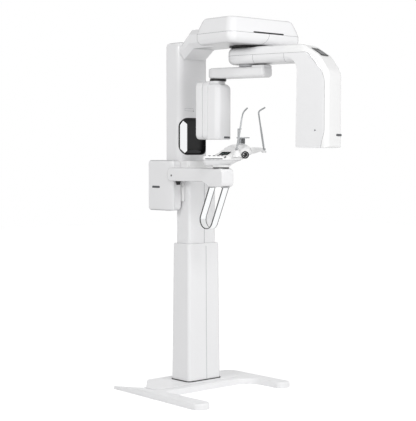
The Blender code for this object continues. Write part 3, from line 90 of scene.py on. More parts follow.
class ScannerSizes(bpy.types.PropertyGroup):
    """Sizes of the details that the finished surfaces add."""
    cover_edge: bpy.props.FloatProperty(
        name="Cover edge", description="Radius of the moulded covers' edges",
        default=0.0022, min=0.0005, unit="LENGTH")
    metal_edge: bpy.props.FloatProperty(
        name="Metal edge", description="Radius of the broken edges on metal pieces",
        default=0.0006, min=0.0001, unit="LENGTH")
    seam_width: bpy.props.FloatProperty(
        name="Seam width", description="Width of the shadow line between two covers",
        default=0.0016, min=0.0003, unit="LENGTH")
    screw_radius: bpy.props.FloatProperty(
        name="Screw radius", description="Radius of the cover screws' heads",
        default=0.0035, min=0.001, unit="LENGTH")
    vent_count: bpy.props.IntProperty(
        name="Vent slots", description="Slots in each vent of the column's rear cover",
        default=14, min=2)
    vent_pitch: bpy.props.FloatProperty(
        name="Vent pitch", description="Distance from one vent slot to the next",
        default=0.009, min=0.003, unit="LENGTH")
    dial_ribs: bpy.props.IntProperty(
        name="Dial ribs", description="Grip ribs round the adjusting knob", default=36, min=6)
    grip_width: bpy.props.FloatProperty(
        name="Grip width", description="Width of the steel grip strap",
        default=0.050, min=0.01, unit="LENGTH")


class ScannerColours(bpy.types.PropertyGroup):
    """Colours of the visible finishes."""
    cover: bpy.props.FloatVectorProperty(
        name="Cover", description="Painted covers", subtype="COLOR", default=tone("F1F1F2"),
        min=0, max=1)
    # Shell also colours the tray finish, a brighter copy of the cover's paint: painted light
    shell: bpy.props.FloatVectorProperty(
        name="Shell", description="Glossy outer shell of the tube head", subtype="COLOR",
        default=tone("F6F6F6"), min=0, max=1)
    base: bpy.props.FloatVectorProperty(
        name="Base", description="Powder coat of the floor base", subtype="COLOR",
        default=tone("F6F6F7"), min=0, max=1)
    trim: bpy.props.FloatVectorProperty(
        name="Trim", description="Black plastic trim", subtype="COLOR", default=tone("161617"),
        min=0, max=1)
    # Keys also colours the painted shadow strips in the front grooves
    keys: bpy.props.FloatVectorProperty(
        name="Keys", description="Keys and pivot discs", subtype="COLOR", default=tone("B9BABC"),
        min=0, max=1)
    smoky: bpy.props.FloatVectorProperty(
        name="Chin rest", description="Smoky clear plastic of the chin rest", subtype="COLOR",
        default=tone("DCDEE0"), min=0, max=1)


# Materials

# A colour mix has its two colours and its result at these places among its sockets
mix_first, mix_second, mix_result = 6, 7, 2
pattern_outputs = {"Noise": "Fac", "Voronoi": "Distance", "Checker": "Fac", "Brick": "Color"}


def node(tree, kind, links=None, **settings):
    """Add one node, set its values by name and link its inputs."""
    made = tree.nodes.new(kind)
    for name, value in settings.items():
        socket = made.inputs.get(name.replace("_", " ")) if name[0].isupper() else None
        if socket is not None:
            socket.default_value = value
        else:
            setattr(made, name, value)
    for name, source in (links or {}).items():
        tree.links.new(source, made.inputs[name])
    return made


def varied(tree, shader, pattern, colour, depth=None, rim=0.0, gloss=None, raised=None):
    """Let a pattern vary a finish.

    Its low end darkens the colour by depth; rim paints shade on faces turned from the camera.
    Gloss holds the roughness at its two ends, and raised the strength and height of its relief.
    """
    if depth is not None:
        blend = node(tree, "ShaderNodeMix", {"Factor": pattern}, data_type="RGBA")
        blend.inputs[mix_first].default_value = (*[part * (1 - depth) for part in colour], 1)
        blend.inputs[mix_second].default_value = (*colour, 1)
        result = blend.outputs[mix_result]
        # Painted shade: rim darkens the colour where the surface turns away from the camera
        if rim:
            away = node(tree, "ShaderNodeLayerWeight", Blend=0.5)
            share = node(tree, "ShaderNodeMapRange", {"Value": away.outputs["Facing"]},
                         From_Min=0.48, To_Max=rim)
            edge_shade = node(tree, "ShaderNodeMix", {"Factor": share.outputs["Result"]},
                       data_type="RGBA")
            edge_shade.inputs[mix_second].default_value = (0, 0, 0, 1)
            tree.links.new(result, edge_shade.inputs[mix_first])
            result = edge_shade.outputs[mix_result]
        tree.links.new(result, shader.inputs["Base Color"])
    if gloss:
        spread = node(tree, "ShaderNodeMapRange", {"Value": pattern}, To_Min=gloss[0],
                      To_Max=gloss[1])
        tree.links.new(spread.outputs["Result"], shader.inputs["Roughness"])
    if raised:
        bump = node(tree, "ShaderNodeBump", {"Height": pattern}, Strength=raised[0],
                    Distance=raised[1])
        tree.links.new(bump.outputs["Normal"], shader.inputs["Normal"])


def finish(name, colour, roughness, kind, texture, look, laid=None, **settings):
    """A finish that one texture varies: its material, tree, shader and coordinates.

    The look says what the texture varies, and laid stretches or turns the texture.
    """
    material = bpy.data.materials.new(name)
    material.use_nodes = True
    tree = material.node_tree
    shader = tree.nodes["Principled BSDF"]
    shader.inputs["Base Color"].default_value = (*colour, 1)
    shader.inputs["Roughness"].default_value = roughness
    for key, value in settings.items():
        shader.inputs[key.replace("_", " ")].default_value = value
    place = node(tree, "ShaderNodeTexCoord").outputs["Object"]
    vector = place
    if laid:
        vector = node(tree, "ShaderNodeMapping", {"Vector": place}, **laid).outputs["Vector"]
    pattern = node(tree, "ShaderNodeTex" + kind, {"Vector": vector}, **texture)
    varied(tree, shader, pattern.outputs[pattern_outputs[kind]], colour, **look)
    return material, tree, shader, place


def painted_cover(name, colour, rim):
    """Polyurethane paint on moulded ABS: soft gloss, faint orange peel, painted shade at edges."""
    # Clouds of about 110 mm in the colour and the gloss
    made, tree, shader, place = finish(
        name, colour, 0.32, "Noise", {"Scale": 9.0, "Detail": 3.0},
        {"depth": 0.02, "rim": rim, "gloss": (0.27, 0.38)},
        IOR=1.46, Coat_Weight=0.25, Coat_Roughness=0.2)
    # Orange peel of about 3 mm, drawn coarser than the real 1 mm so that it shows
    peel = node(tree, "ShaderNodeTexNoise", {"Vector": place}, Scale=330.0, Detail=2.0)
    varied(tree, shader, peel.outputs["Fac"], colour, raised=(0.12, 0.0002))
    return made


def glossy_shell(colours):
    """Clear coated white shell of the tube head: brighter and sharper in its gloss."""
    # A long flow ripple of about 40 mm, as a large moulding has
    return finish("clear_coated_shell", colours.shell, 0.24, "Noise",
                  {"Scale": 25.0, "Detail": 1.0},
                  # rim paints shade where the shell turns away from the camera
                  {"depth": 0.015, "rim": 0.5, "raised": (0.05, 0.001)},
                  IOR=1.5, Coat_Weight=0.5, Coat_Roughness=0.1)[0]


def powder_coat(colours):
    """Powder coat on thick steel: a fine leathery texture and a duller gloss."""
    # Texture of about 1.2 mm with sparse darker scuffs of 60 mm from shoes
    made, tree, shader, place = finish("powder_coated_steel", colours.base, 0.45, "Voronoi",
                                       {"Scale": 800.0}, {"raised": (0.2, 0.0002)}, IOR=1.5)
    scuff = node(tree, "ShaderNodeTexNoise", {"Vector": place}, Scale=16.0, Detail=6.0,
                 Roughness=0.7)
    worn = node(tree, "ShaderNodeMapRange", {"Value": scuff.outputs["Fac"]}, From_Min=0.3,
                From_Max=0.45)
    varied(tree, shader, worn.outputs["Result"], colours.base, 0.035)
    return made


def coated_extrusion(colours):
    """Powder coated aluminium extrusion: long faint die lines up the column."""
    # Die lines 4 mm apart, drawn wider than the real ones so that they show
    return finish("coated_aluminium_extrusion", colours.cover, 0.38, "Noise",
                  {"Scale": 1.0, "Detail": 2.0},
                  # rim paints shade where the column turns away from the camera
                  {"depth": 0.02, "rim": 0.3, "raised": (0.1, 0.0002)},
                  laid={"Scale": (250.0, 250.0, 3.0)}, IOR=1.5)[0]


def grained_plastic(name, colour, roughness, grain_mm):
    """Moulded plastic with the grain of a spark eroded tool, which softens its gloss."""
    return finish(name, colour, roughness, "Noise", {"Scale": 1000.0 / grain_mm, "Detail": 3.0},
                  {"depth": 0.12, "raised": (0.3, 0.0002)},
                  IOR=1.46, Specular_IOR_Level=0.35)[0]


def smoky_polycarbonate(colours):
    """Injection moulded clear polycarbonate: a little light passes through it."""
    # Flow marks about 8 mm long from the gate
    return finish("smoky_polycarbonate", colours.smoky, 0.22, "Noise",
                  {"Scale": 120.0, "Detail": 2.0, "Distortion": 1.0}, {"depth": 0.10},
                  IOR=1.58, Transmission_Weight=0.15)[0]


def brushed_metal(name, colour, roughness, along, line_mm):
    """Metal finished with fine parallel lines, which stretch its highlights."""
    scale = [1000.0 / line_mm] * 3
    scale["XYZ".index(along)] = 12.0
    return finish(name, colour, roughness, "Noise", {"Scale": 1.0, "Detail": 3.0},
                  {"depth": 0.15, "gloss": (roughness * 0.8, roughness * 1.3),
                   "raised": (0.08, 0.0001)}, laid={"Scale": scale}, Metallic=1.0)[0]


def polished_strap(width):
    """Polished steel strap: it mirrors the pale room; painted dark reflections line its edges."""
    steel = tone("E3E4E5")
    # Polishing marks 1.5 mm long
    made, tree, shader, place = finish(
        "polished_stainless_strap", steel, 0.14, "Noise", {"Scale": 650.0, "Detail": 2.0},
        {"raised": (0.04, 0.0001)}, Metallic=1.0)
    # Painted reflection: dark bands from 7.5 to 4.5 mm inside the strap's edges
    split = node(tree, "ShaderNodeSeparateXYZ", {"Vector": place})
    centred = node(tree, "ShaderNodeMath", {0: split.outputs["X"]}, operation="ADD")
    centred.inputs[1].default_value = -strap_x
    reach = node(tree, "ShaderNodeMath", {0: centred.outputs[0]}, operation="ABSOLUTE")
    share = node(tree, "ShaderNodeMapRange", {"Value": reach.outputs[0]},
                 From_Min=width / 2 - 0.0075, From_Max=width / 2 - 0.0045, To_Min=1.0, To_Max=0.0)
    varied(tree, shader, share.outputs["Result"], steel, 0.88)
    return made


def cast_metal(name, colour, roughness, metallic):
    """Sand cast or enamelled metal: an uneven skin of small pits."""
    # Pits of about 2 mm
    return finish(name, colour, roughness, "Voronoi", {"Scale": 500.0},
                  {"depth": 0.2, "raised": (0.3, 0.0003)}, Metallic=metallic)[0]


def display_glass():
    """Black printed glass over a display: a deep mirror-like black."""
    # The display's pixel cells, 0.6 mm, just lighter than the black print
    return finish("black_printed_glass", tone("0C0D0F"), 0.25, "Checker", {"Scale": 1600.0},
                  {"depth": 0.35}, IOR=1.45, Specular_IOR_Level=0.05)[0]


def silvered_mirror():
    """Front silvered mirror: it gives back the pale room almost unchanged."""
    # Faint wiping marks about 60 mm long
    return finish("silvered_mirror", tone("F4F5F6"), 0.05, "Noise",
                  {"Scale": 16.0, "Detail": 4.0}, {"gloss": (0.03, 0.09)}, Metallic=1.0)[0]


def circuit_board():
    """Epoxy board under green lacquer, with paler copper fields below it."""
    # Copper fields of about 6 by 3 mm
    fields = {"Scale": 160.0, "Color1": (1, 1, 1, 1), "Color2": (0.6, 0.6, 0.6, 1),
              "Mortar": (0.2, 0.2, 0.2, 1)}
    return finish("lacquered_circuit_board", tone("1F6B3C"), 0.35, "Brick", fields,
                  {"depth": 0.5}, laid={"Rotation": (0, math.pi / 2, 0)}, IOR=1.55)[0]


def soft_rubber():
    """Moulded rubber: matt and nearly black, dusty on its high spots."""
    # Dust in patches of about 10 mm
    return finish("moulded_rubber", tone("222222"), 0.85, "Noise",
                  {"Scale": 100.0, "Detail": 5.0}, {"depth": 0.35}, IOR=1.52)[0]


palette = {}


def mix_finishes(colours):
    """Make every finish once."""
    palette.update(
        # The cover's rim paints shade where it turns away from the camera
        cover=painted_cover("painted_abs_cover", colours.cover, 0.55),
        # Tray: a brighter copy of the cover's paint, painted light on table and collar
        tray=painted_cover("painted_abs_tray", colours.shell, 0.0),
        # Hull: a greyer copy of the same paint, painted shade on the table's underside
        hull=painted_cover("painted_abs_hull", tone("DFDFE0"), 0.0),
        shell=glossy_shell(colours), base=powder_coat(colours),
        column=coated_extrusion(colours),
        # The black trim also paints the shade in the gaps round the table's keys
        # Black trim with a 0.8 mm grain, keys with a 0.6 mm grain
        trim=grained_plastic("black_abs_trim", colours.trim, 0.42, 0.8),
        keys=grained_plastic("grey_abs_keys", colours.keys, 0.5, 0.6),
        # The dark grey plate finish also paints the shadow under the key strip
        badge=grained_plastic("dark_grey_plate", tone("55575A"), 0.35, 0.8),
        joint=grained_plastic("grey_joint_seal", tone("9A9B9D"), 0.7, 1.2),
        # Polished black visor with a 2 mm flow grain, and the display's lit bars
        piano=grained_plastic("polished_black_visor", tone("2B2B2D"), 0.2, 2.0),
        lit=grained_plastic("lit_display_bars", tone("2C4640"), 0.4, 0.6),
        nylon=grained_plastic("natural_nylon", tone("D9D5C8"), 0.55, 1.0),
        silicone=grained_plastic("grey_silicone_sleeve", tone("B4B6B8"), 0.6, 1.2),
        smoky=smoky_polycarbonate(colours),
        strap=polished_strap(sizes().grip_width),
        # Ground or drawn lines 1 mm apart
        rod=brushed_metal("drawn_stainless_rod", tone("A0A2A4"), 0.35, "Z", 1.0),
        steel=brushed_metal("ground_steel", tone("A4A6A8"), 0.35, "Y", 1.0),
        casting=cast_metal("cast_aluminium", tone("B9BBBD"), 0.45, 1.0),
        enamel=cast_metal("dark_enamelled_steel", tone("3A3B3E"), 0.4, 0.3),
        glass=display_glass(), mirror=silvered_mirror(), board=circuit_board(),
        rubber=soft_rubber())


# Shapes

def one_each(values, points):
    """A list of one value for each point, from such a list or from one number."""
    return values if isinstance(values, (list, tuple)) else [values] * len(points)


def rounded(points, radii, steps=10):
    """A closed outline with each corner turned into an arc of its radius.

    An arc takes up less than half of each side beside it.
    """
    longest = 0.48
    outline = []
    for index, radius in enumerate(one_each(radii, points)):
        corner = Vector(points[index])
        before = Vector(points[index - 1]) - corner
        after = Vector(points[(index + 1) % len(points)]) - corner
        if radius <= 0.0:
            outline.append(tuple(corner))
            continue
        half = before.angle(after) / 2
        reach = min(radius / math.tan(half), before.length * longest, after.length * longest)
        radius = reach * math.tan(half)
        centre = corner + (before.normalized() + after.normalized()).normalized() * (
            radius / math.sin(half))
        start = corner + before.normalized() * reach - centre
        sweep = start.angle_signed(corner + after.normalized() * reach - centre)
        for step in range(steps + 1):
            outline.append(tuple(centre + Matrix.Rotation(-sweep * step / steps, 2) @ start))
    return outline


def rectangle(low_a, low_b, high_a, high_b):
    """Four corners, anticlockwise."""
    return [(low_a, low_b), (high_a, low_b), (high_a, high_b), (low_a, high_b)]


def spot(axis, pair, along):
    """A point from its two outline coordinates and its place along an axis."""
    a, b = pair
    return {"X": (along, a, b), "Y": (a, along, b), "Z": (a, b, along)}[axis]


def linked(name, data):
    """A new object of the data in the scene, at the origin."""
    made = bpy.data.objects.new(name, data)
    bpy.context.scene.collection.objects.link(made)
    return made


def meshed(name, data):
    """A named object at the origin made of the mesh data."""
    mesh = bpy.data.meshes.new(name)
    data.to_mesh(mesh)
    data.free()
    return linked(name, mesh)


def held(name, data):
    """A new closed shape: its doubles are merged and its faces point outwards."""
    bmesh.ops.remove_doubles(data, verts=data.verts, dist=0.000001)
    bmesh.ops.recalc_face_normals(data, faces=data.faces)
    return meshed(name, data)


def lofted(name, loops):
    """A solid skinned over loops of equal length, closed at both ends."""
    data = bmesh.new()
    rings = [[data.verts.new(point) for point in loop] for loop in loops]
    for lower, upper in zip(rings, rings[1:]):
        for index in range(len(lower)):
            after = (index + 1) % len(lower)
            data.faces.new((lower[index], lower[after], upper[after], upper[index]))
    data.faces.new(rings[0])
    data.faces.new(rings[-1])
    return held(name, data)


def prism(name, outline, axis, low, high, radii=0, steps=10):
    """One straight solid of an outline, its corners rounded by their radii."""
    outline = rounded(outline, radii, steps)
    return lofted(name, [[spot(axis, pair, along) for pair in outline] for along in (low, high)])


def inner_corners(points, radii, inset, fixed=()):
    """An outline's corners and radii after its sides move inwards; fixed sides stay."""
    corners, radii = [Vector(point) for point in points], one_each(radii, points)
    count = len(corners)
    side = 1 if sum(corners[at - 1].cross(corners[at]) for at in range(count)) > 0 else -1
    lines = []
    for at in range(count):
        along = (corners[(at + 1) % count] - corners[at]).normalized()
        inward = Vector((-along.y, along.x)) * side
        lines.append((corners[at] + inward * (0 if at in fixed else inset), along))
    moved, bends = [], []
    for at in range(count):
        (start, along), (other, after) = lines[at - 1], lines[at]
        turn = along.cross(after)
        moved.append(start + along * ((other - start).cross(after) / turn))
        change = inset if turn * side > 0 else -inset
        if at in fixed and (at - 1) % count in fixed:
            change = 0
        bends.append(max(radii[at] - change, 0.0004) if radii[at] else 0)
    return moved, bends


def quarter(steps):
    """Angles from 0 to a right angle in even steps."""
    return [math.pi / 2 * step / steps for step in range(steps + 1)]


def crowned(name, points, radii, axis, low, high, soft_low, soft_high, fixed=(), steps=6):
    """A solid of one outline along an axis, its two ends rounded over."""
    levels = [(soft_low * (1 - math.sin(turn)), low + soft_low * (1 - math.cos(turn)))
              for turn in (quarter(steps) if soft_low else [0.0])]
    levels += [(soft_high * (1 - math.sin(turn)), high - soft_high * (1 - math.cos(turn)))
               for turn in (reversed(quarter(steps)) if soft_high else [0.0])]
    loops = []
    for inset, along in levels:
        outline = rounded(*inner_corners(points, radii, inset, fixed))
        loops.append([spot(axis, pair, along) for pair in outline])
    return lofted(name, loops)


def turned(name, profile, place=(0, 0, 0), axis=(0, 0, 1), steps=48):
    """A round piece: a profile of (radius, height) about an axis, poles closed."""
    data = bmesh.new()
    rings = []
    for radius, height in profile:
        count = 1 if radius == 0.0 else steps
        rings.append([data.verts.new((radius * math.cos(math.tau * step / steps),
                                      radius * math.sin(math.tau * step / steps), height))
                      for step in range(count)])
    for lower, upper in zip(rings, rings[1:]):
        for step in range(steps):
            after = (step + 1) % steps
            corners = [lower[step % len(lower)], lower[after % len(lower)],
                       upper[after % len(upper)], upper[step % len(upper)]]
            corners = list(dict.fromkeys(corners))
            if len(corners) > 2:
                data.faces.new(corners)
    turn = Vector((0, 0, 1)).rotation_difference(Vector(axis)).to_matrix().to_4x4()
    bmesh.ops.transform(data, matrix=Matrix.Translation(place) @ turn, verts=data.verts)
    return held(name, data)


def kept(piece, name=None):
    """The piece with its modifiers applied, as a plain mesh object."""
    graph = bpy.context.evaluated_depsgraph_get()
    mesh = bpy.data.meshes.new_from_object(piece.evaluated_get(graph), depsgraph=graph)
    name = name or piece.name
    bpy.data.objects.remove(piece, do_unlink=True)
    mesh.name = name
    return linked(name, mesh)


def carved(piece, *cutters, operation="DIFFERENCE"):
    """Take cutters out of a piece, or keep only what it shares with them."""
    for cutter in cutters:
        modifier = piece.modifiers.new("carve", "BOOLEAN")
        modifier.operation = operation
        modifier.solver = "EXACT"
        modifier.object = cutter
    made = kept(piece)
    for cutter in cutters:
        bpy.data.objects.remove(cutter, do_unlink=True)
    return made


def eased(piece, width, segments, limit):
    """Round a piece's edges sharper than a limit in degrees and even out its shading."""
    sharp_from = 42
    if width > 0.0:
        bevel = piece.modifiers.new("edges", "BEVEL")
        bevel.width = width
        bevel.segments = segments
        bevel.limit_method = "ANGLE"
        bevel.angle_limit = math.radians(limit)
    made = kept(piece)
    made.data.shade_smooth()
    made.data.set_sharp_from_angle(angle=math.radians(sharp_from))
    weight = made.modifiers.new("shading", "WEIGHTED_NORMAL")
    weight.keep_sharp = True
    return kept(made)


def painted(piece, look, body, slot, *nodes, edge=0.0, segments=3, limit=38, at=None):
    """Give a piece its finish and body, hide the nodes it stands for; its slot is not used.

    Its edges are rounded by the edge width first, and with None it stays as it was cut. Then
    its mesh moves by the matrix at, so that its object stays at the origin.
    """
    if edge is not None:
        piece = eased(piece, edge, segments, limit)
    if at is not None:
        piece.data.transform(at)
    piece.data.materials.clear()
    piece.data.materials.append(palette[look])
    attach(piece, body)
    if nodes:
        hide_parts(*nodes)
    return piece


def stand_in(piece, look, name, **finishing):
    """Finish a piece that stands for a frame node, on that node's body."""
    body = frame["nodes"][name]["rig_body"]
    return painted(piece, look, body, slots[name], name, **finishing)


def copied(name):
    """A merged copy of a frame node's mesh under a name of its own, its flat faces whole."""
    flat_within = math.radians(0.6)
    data = bmesh.new()
    data.from_mesh(frame["nodes"][name].data)
    bmesh.ops.remove_doubles(data, verts=data.verts, dist=0.00002)
    bmesh.ops.dissolve_limit(data, angle_limit=flat_within, verts=data.verts, edges=data.edges)
    return meshed("fine_" + name, data)


def dressed(name, look, edge):
    """A frame node with fine rounded edges and its finish."""
    return stand_in(copied(name), look, name, edge=edge, segments=2)


# Geometry Nodes for what repeats or follows a path

def plan(name, **inputs):
    """A geometry tree with named inputs: the tree, its input and its output."""
    tree = bpy.data.node_groups.new(name, "GeometryNodeTree")
    tree.interface.new_socket("Geometry", in_out="INPUT", socket_type="NodeSocketGeometry")
    for label, kind in inputs.items():
        tree.interface.new_socket(label.replace("_", " "), in_out="INPUT",
                                  socket_type="NodeSocket" + kind)
    tree.interface.new_socket("Geometry", in_out="OUTPUT", socket_type="NodeSocketGeometry")
    return tree, node(tree, "NodeGroupInput"), node(tree, "NodeGroupOutput")


def ended(tree, given, out, geometry):
    """End a tree in Realize Instances and Set Material."""
    real = node(tree, "GeometryNodeRealizeInstances", {"Geometry": geometry})
    painted_mesh = node(tree, "GeometryNodeSetMaterial", {
        "Geometry": real.outputs["Geometry"], "Material": given.outputs["Finish"]})
    tree.links.new(painted_mesh.outputs["Geometry"], out.inputs["Geometry"])
    return tree


def ring_plan():
    """Copies of an object round a circle, each turned to face outwards."""
    tree, given, out = plan("ring_of_copies", Count="Int", Radius="Float", Copy="Object",
                            Finish="Material")
    circle = node(tree, "GeometryNodeMeshCircle", {
        "Vertices": given.outputs["Count"], "Radius": given.outputs["Radius"]})
    place = node(tree, "GeometryNodeInputPosition")
    turn = node(tree, "FunctionNodeAlignRotationToVector", {"Vector": place.outputs["Position"]},
                axis="X", pivot_axis="Z")
    copy = node(tree, "GeometryNodeObjectInfo", {"Object": given.outputs["Copy"]})
    ring = node(tree, "GeometryNodeInstanceOnPoints", {
        "Points": circle.outputs["Mesh"], "Instance": copy.outputs["Geometry"],
        "Rotation": turn.outputs["Rotation"]})
    return ended(tree, given, out, ring.outputs["Instances"])


def row_plan():
    """Copies of an object along a straight line at an even pitch."""
    tree, given, out = plan("row_of_copies", Count="Int", Pitch="Vector", Copy="Object",
                            Finish="Material")
    line = node(tree, "GeometryNodeMeshLine", {
        "Count": given.outputs["Count"], "Offset": given.outputs["Pitch"]})
    copy = node(tree, "GeometryNodeObjectInfo", {"Object": given.outputs["Copy"]})
    row = node(tree, "GeometryNodeInstanceOnPoints", {
        "Points": line.outputs["Mesh"], "Instance": copy.outputs["Geometry"]})
    return ended(tree, given, out, row.outputs["Instances"])


def strap_plan():
    """A flat strap with rounded edges, swept along a line of edges."""
    tree, given, out = plan("strap_along_line", Width="Float", Thickness="Float", Edge="Float",
                            Finish="Material")
    path = node(tree, "GeometryNodeMeshToCurve", {"Mesh": given.outputs["Geometry"]})
    section = node(tree, "GeometryNodeCurvePrimitiveQuadrilateral", {
        "Width": given.outputs["Width"], "Height": given.outputs["Thickness"]})
    soft = node(tree, "GeometryNodeFilletCurve", {
        "Curve": section.outputs["Curve"], "Radius": given.outputs["Edge"]}, mode="POLY", Count=4)
    strap = node(tree, "GeometryNodeCurveToMesh", {
        "Curve": path.outputs["Curve"], "Profile Curve": soft.outputs["Curve"]}, Fill_Caps=True)
    return ended(tree, given, out, strap.outputs["Mesh"])


plans = {}


def grown(name, plan_name, base=None, copy=None, **values):
    """Run a geometry tree on its named values and keep the plain mesh."""
    if not plans:
        plans.update(ring=ring_plan(), row=row_plan(), strap=strap_plan())
    holder = linked(name + "_base", base or bpy.data.meshes.new(name + "_base"))
    modifier = holder.modifiers.new("plan", "NODES")
    modifier.node_group = plans[plan_name]
    if copy is not None:
        values["Copy"] = copy
    for item in plans[plan_name].interface.items_tree:
        if item.in_out == "INPUT" and item.name in values:
            modifier[item.identifier] = values[item.name]
    made = kept(holder, name)
    if copy is not None:
        bpy.data.objects.remove(copy, do_unlink=True)
    return made


# Pieces

def sizes():
    """The add-on's sizes."""
    return bpy.context.scene.scanner_sizes


class FloorBase(bpy.types.Operator):
    """Powder coated steel feet, bridge and plinth step."""
    bl_idname = "scanner.floor_base"
    bl_label = "Floor base"

    def execute(self, context):
        # Feet and bridge with wide curves between them; the left foot's tail slopes down
        corners = [(-0.4975, -0.586), (-0.385, -0.586), (-0.385, -0.175), (0.280, -0.175),
                   (0.280, -0.440), (0.385, -0.440), (0.385, 0.117), (0.255, 0.117), (0.205, 0.168),
                   (-0.250, 0.168), (-0.4017, -0.030), (-0.442, 0.223), (-0.458, 0.223)]
        bends = [0.046, 0.046, 0.028, 0.100, 0.040, 0.040, 0.070, 0.030, 0.030, 0.050, 0.025, 0.006,
                 0.006]
        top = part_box("base_frame")[1].z
        frame_solid = crowned("floor_frame", corners, bends, "Z", 0.0, top, 0.004, 0.010)
        wedge = prism("wedge", [(-0.030, top), (0.240, top - 0.021), (0.240, top + 0.02),
                                (-0.030, top + 0.02)], "X", -0.52, -0.3985)
        stand_in(carved(frame_solid, wedge), "base", "base_frame")
        dressed("column_plinth", "base", 0.0012)
        return {"FINISHED"}


class LowerColumn(bpy.types.Operator):
    """Outer sleeve with its foot gasket and the column that slides in it."""
    bl_idname = "scanner.lower_column"
    bl_label = "Sleeve and column"

    def execute(self, context):
        dressed("outer_sleeve", "column", 0.0008)
        # Rounded rim on the sleeve's mouth, and the shadow in the two front grooves
        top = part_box("outer_sleeve")[1].z
        rim = crowned("sleeve_rim", rectangle(-0.1223, -0.0773, 0.1223, 0.0763), 0.022, "Z",
                      top - 0.0100, top + 0.0070, 0.001, 0.005)
        mouth = prism("mouth", rectangle(-0.1084, -0.0634, 0.1084, 0.0624), "Z", top - 0.02,
                      top + 0.02, 0.018)
        painted(carved(rim, mouth), "column", "base", slots["outer_sleeve"])
        groove_left, groove_right, deep = 0.0115, 0.0145, 0.0012
        for name, body, low_z, low_y, high_z, high_y in (
                ("sleeve_groove_shadow", "base", 0.0470, -0.0836, top - 0.0102, -0.0762),
                ("column_groove_shadow", "lift", 0.4560, -0.0612, 1.2330, -0.0612)):
            line = lofted(name, [
                [(groove_left, y, z), (groove_right, y, z), (groove_right, y + deep, z),
                 (groove_left, y + deep, z)] for y, z in ((low_y, low_z), (high_y, high_z))])
            painted(line, "keys", body, "grey_plastic", edge=None)
        dressed("telescoping_column", "column", 0.0006)
        dressed("sleeve_gasket", "rubber", 0.0012)
        dressed("sleeve_glide", "nylon", 0.0005)
        return {"FINISHED"}


class LiftDrive(bpy.types.Operator):
    """Motor, spindle tube and push rod inside the sleeve."""
    bl_idname = "scanner.lift_drive"
    bl_label = "Lift drive"

    def execute(self, context):
        dressed("lift_motor", "enamel", 0.0015)
        dressed("lift_actuator_tube", "casting", 0.0006)
        dressed("lift_push_rod", "rod", 0.0006)
        return {"FINISHED"}


class Carriage(bpy.types.Operator):
    """Collar block on the sliding column."""
    bl_idname = "scanner.carriage"
    bl_label = "Carriage"

    def execute(self, context):
        # The collar in the tray finish, a brighter copy of the cover's paint: painted light
        dressed("carriage_collar", "tray", sizes().cover_edge)
        return {"FINISHED"}


class SideBox(bpy.types.Operator):
    """Control box on the left, its cover and the board inside."""
    bl_idname = "scanner.side_box"
    bl_label = "Side box"

    def execute(self, context):
        dressed("side_box_body", "cover", sizes().cover_edge)
        # Cover whose front edge is a quarter of an ellipse in plan
        low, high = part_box("side_box_cover")
        depth, bends = 0.072, quarter(14)
        outline = [(high.x - (high.x - low.x) * math.cos(turn),
                    low.y + depth * (1 - math.sin(turn))) for turn in bends]
        outline += [(high.x, high.y), (low.x, high.y)]
        cover = crowned("side_box_shell", outline, [0] * len(bends) + [0.003, 0.014], "Z", low.z,
                        high.z, 0.016, 0.016)
        stand_in(cover, "cover", "side_box_cover")
        dressed("control_board", "board", 0.0003)
        plate = crowned("side_box_plate", rectangle(0.112, 1.1935, 0.184, 1.2065), 0.006, "X",
                        low.x - 0.0008, low.x + 0.002, 0.0004, 0)
        painted(plate, "badge", "lift", "black_plastic")
        return {"FINISHED"}


class SideArm(bpy.types.Operator):
    """Arm from the box to the patient table, with its stop button."""
    bl_idname = "scanner.side_arm"
    bl_label = "Side arm"

    def execute(self, context):
        dressed("side_arm", "cover", 0.0)
        dressed("stop_button", "trim", 0.001)
        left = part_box("side_arm")[0].x
        profile = [(0, -0.002), (0.0058, -0.002), (0.0058, 0.0006), (0, 0.0010)]
        dot = turned("side_arm_dot", profile, (left + 0.0002, -0.002, 1.270), (-1, 0, 0), 24)
        painted(dot, "trim", "lift", "black_plastic")
        return {"FINISHED"}


class GripLoop(bpy.types.Operator):
    """Polished steel strap bent into a loop, held in two dark sockets."""
    bl_idname = "scanner.grip_loop"
    bl_label = "Grip loop"

    def execute(self, context):
        # Two straight legs that hang down and back, and a half circle between them
        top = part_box("side_arm")[0].z - 0.0044
        leg = Vector((0.084, -0.186))
        down = leg.normalized()
        across = Vector((-down.y, down.x))
        front, rear = Vector((-0.428, top)), Vector((-0.313, top))
        radius = (rear - front).dot(across) / 2
        centre = (front + rear) / 2 + down * leg.length
        run = [front] + [centre - across * radius * math.cos(turn) + down * radius * math.sin(turn)
                         for turn in [math.pi * step / 40 for step in range(41)]] + [rear]
        line = bpy.data.meshes.new("strap_line")
        line.from_pydata([(strap_x, y, z) for y, z in run],
                         [(at, at + 1) for at in range(len(run) - 1)], [])
        strap = grown("grip_strap", "strap", base=line, Width=sizes().grip_width, Thickness=0.0045,
                      Edge=0.0012, Finish=palette["strap"])
        stand_in(strap, "strap", "grip_loop")
        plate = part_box("grip_socket_plate")
        half_wide, half_long = 0.0285, 0.0095
        for name, y, nodes in (("front_grip_socket", -0.4275, ["grip_socket_plate"]),
                               ("rear_grip_socket", -0.3135, [])):
            around = rectangle(strap_x - half_wide, y - half_long, strap_x + half_wide,
                               y + half_long)
            socket = crowned(name, around, 0.006, "Z", plate[0].z, plate[1].z, 0.001, 0)
            painted(socket, "keys", "lift", "black_plastic", *nodes)
        return {"FINISHED"}


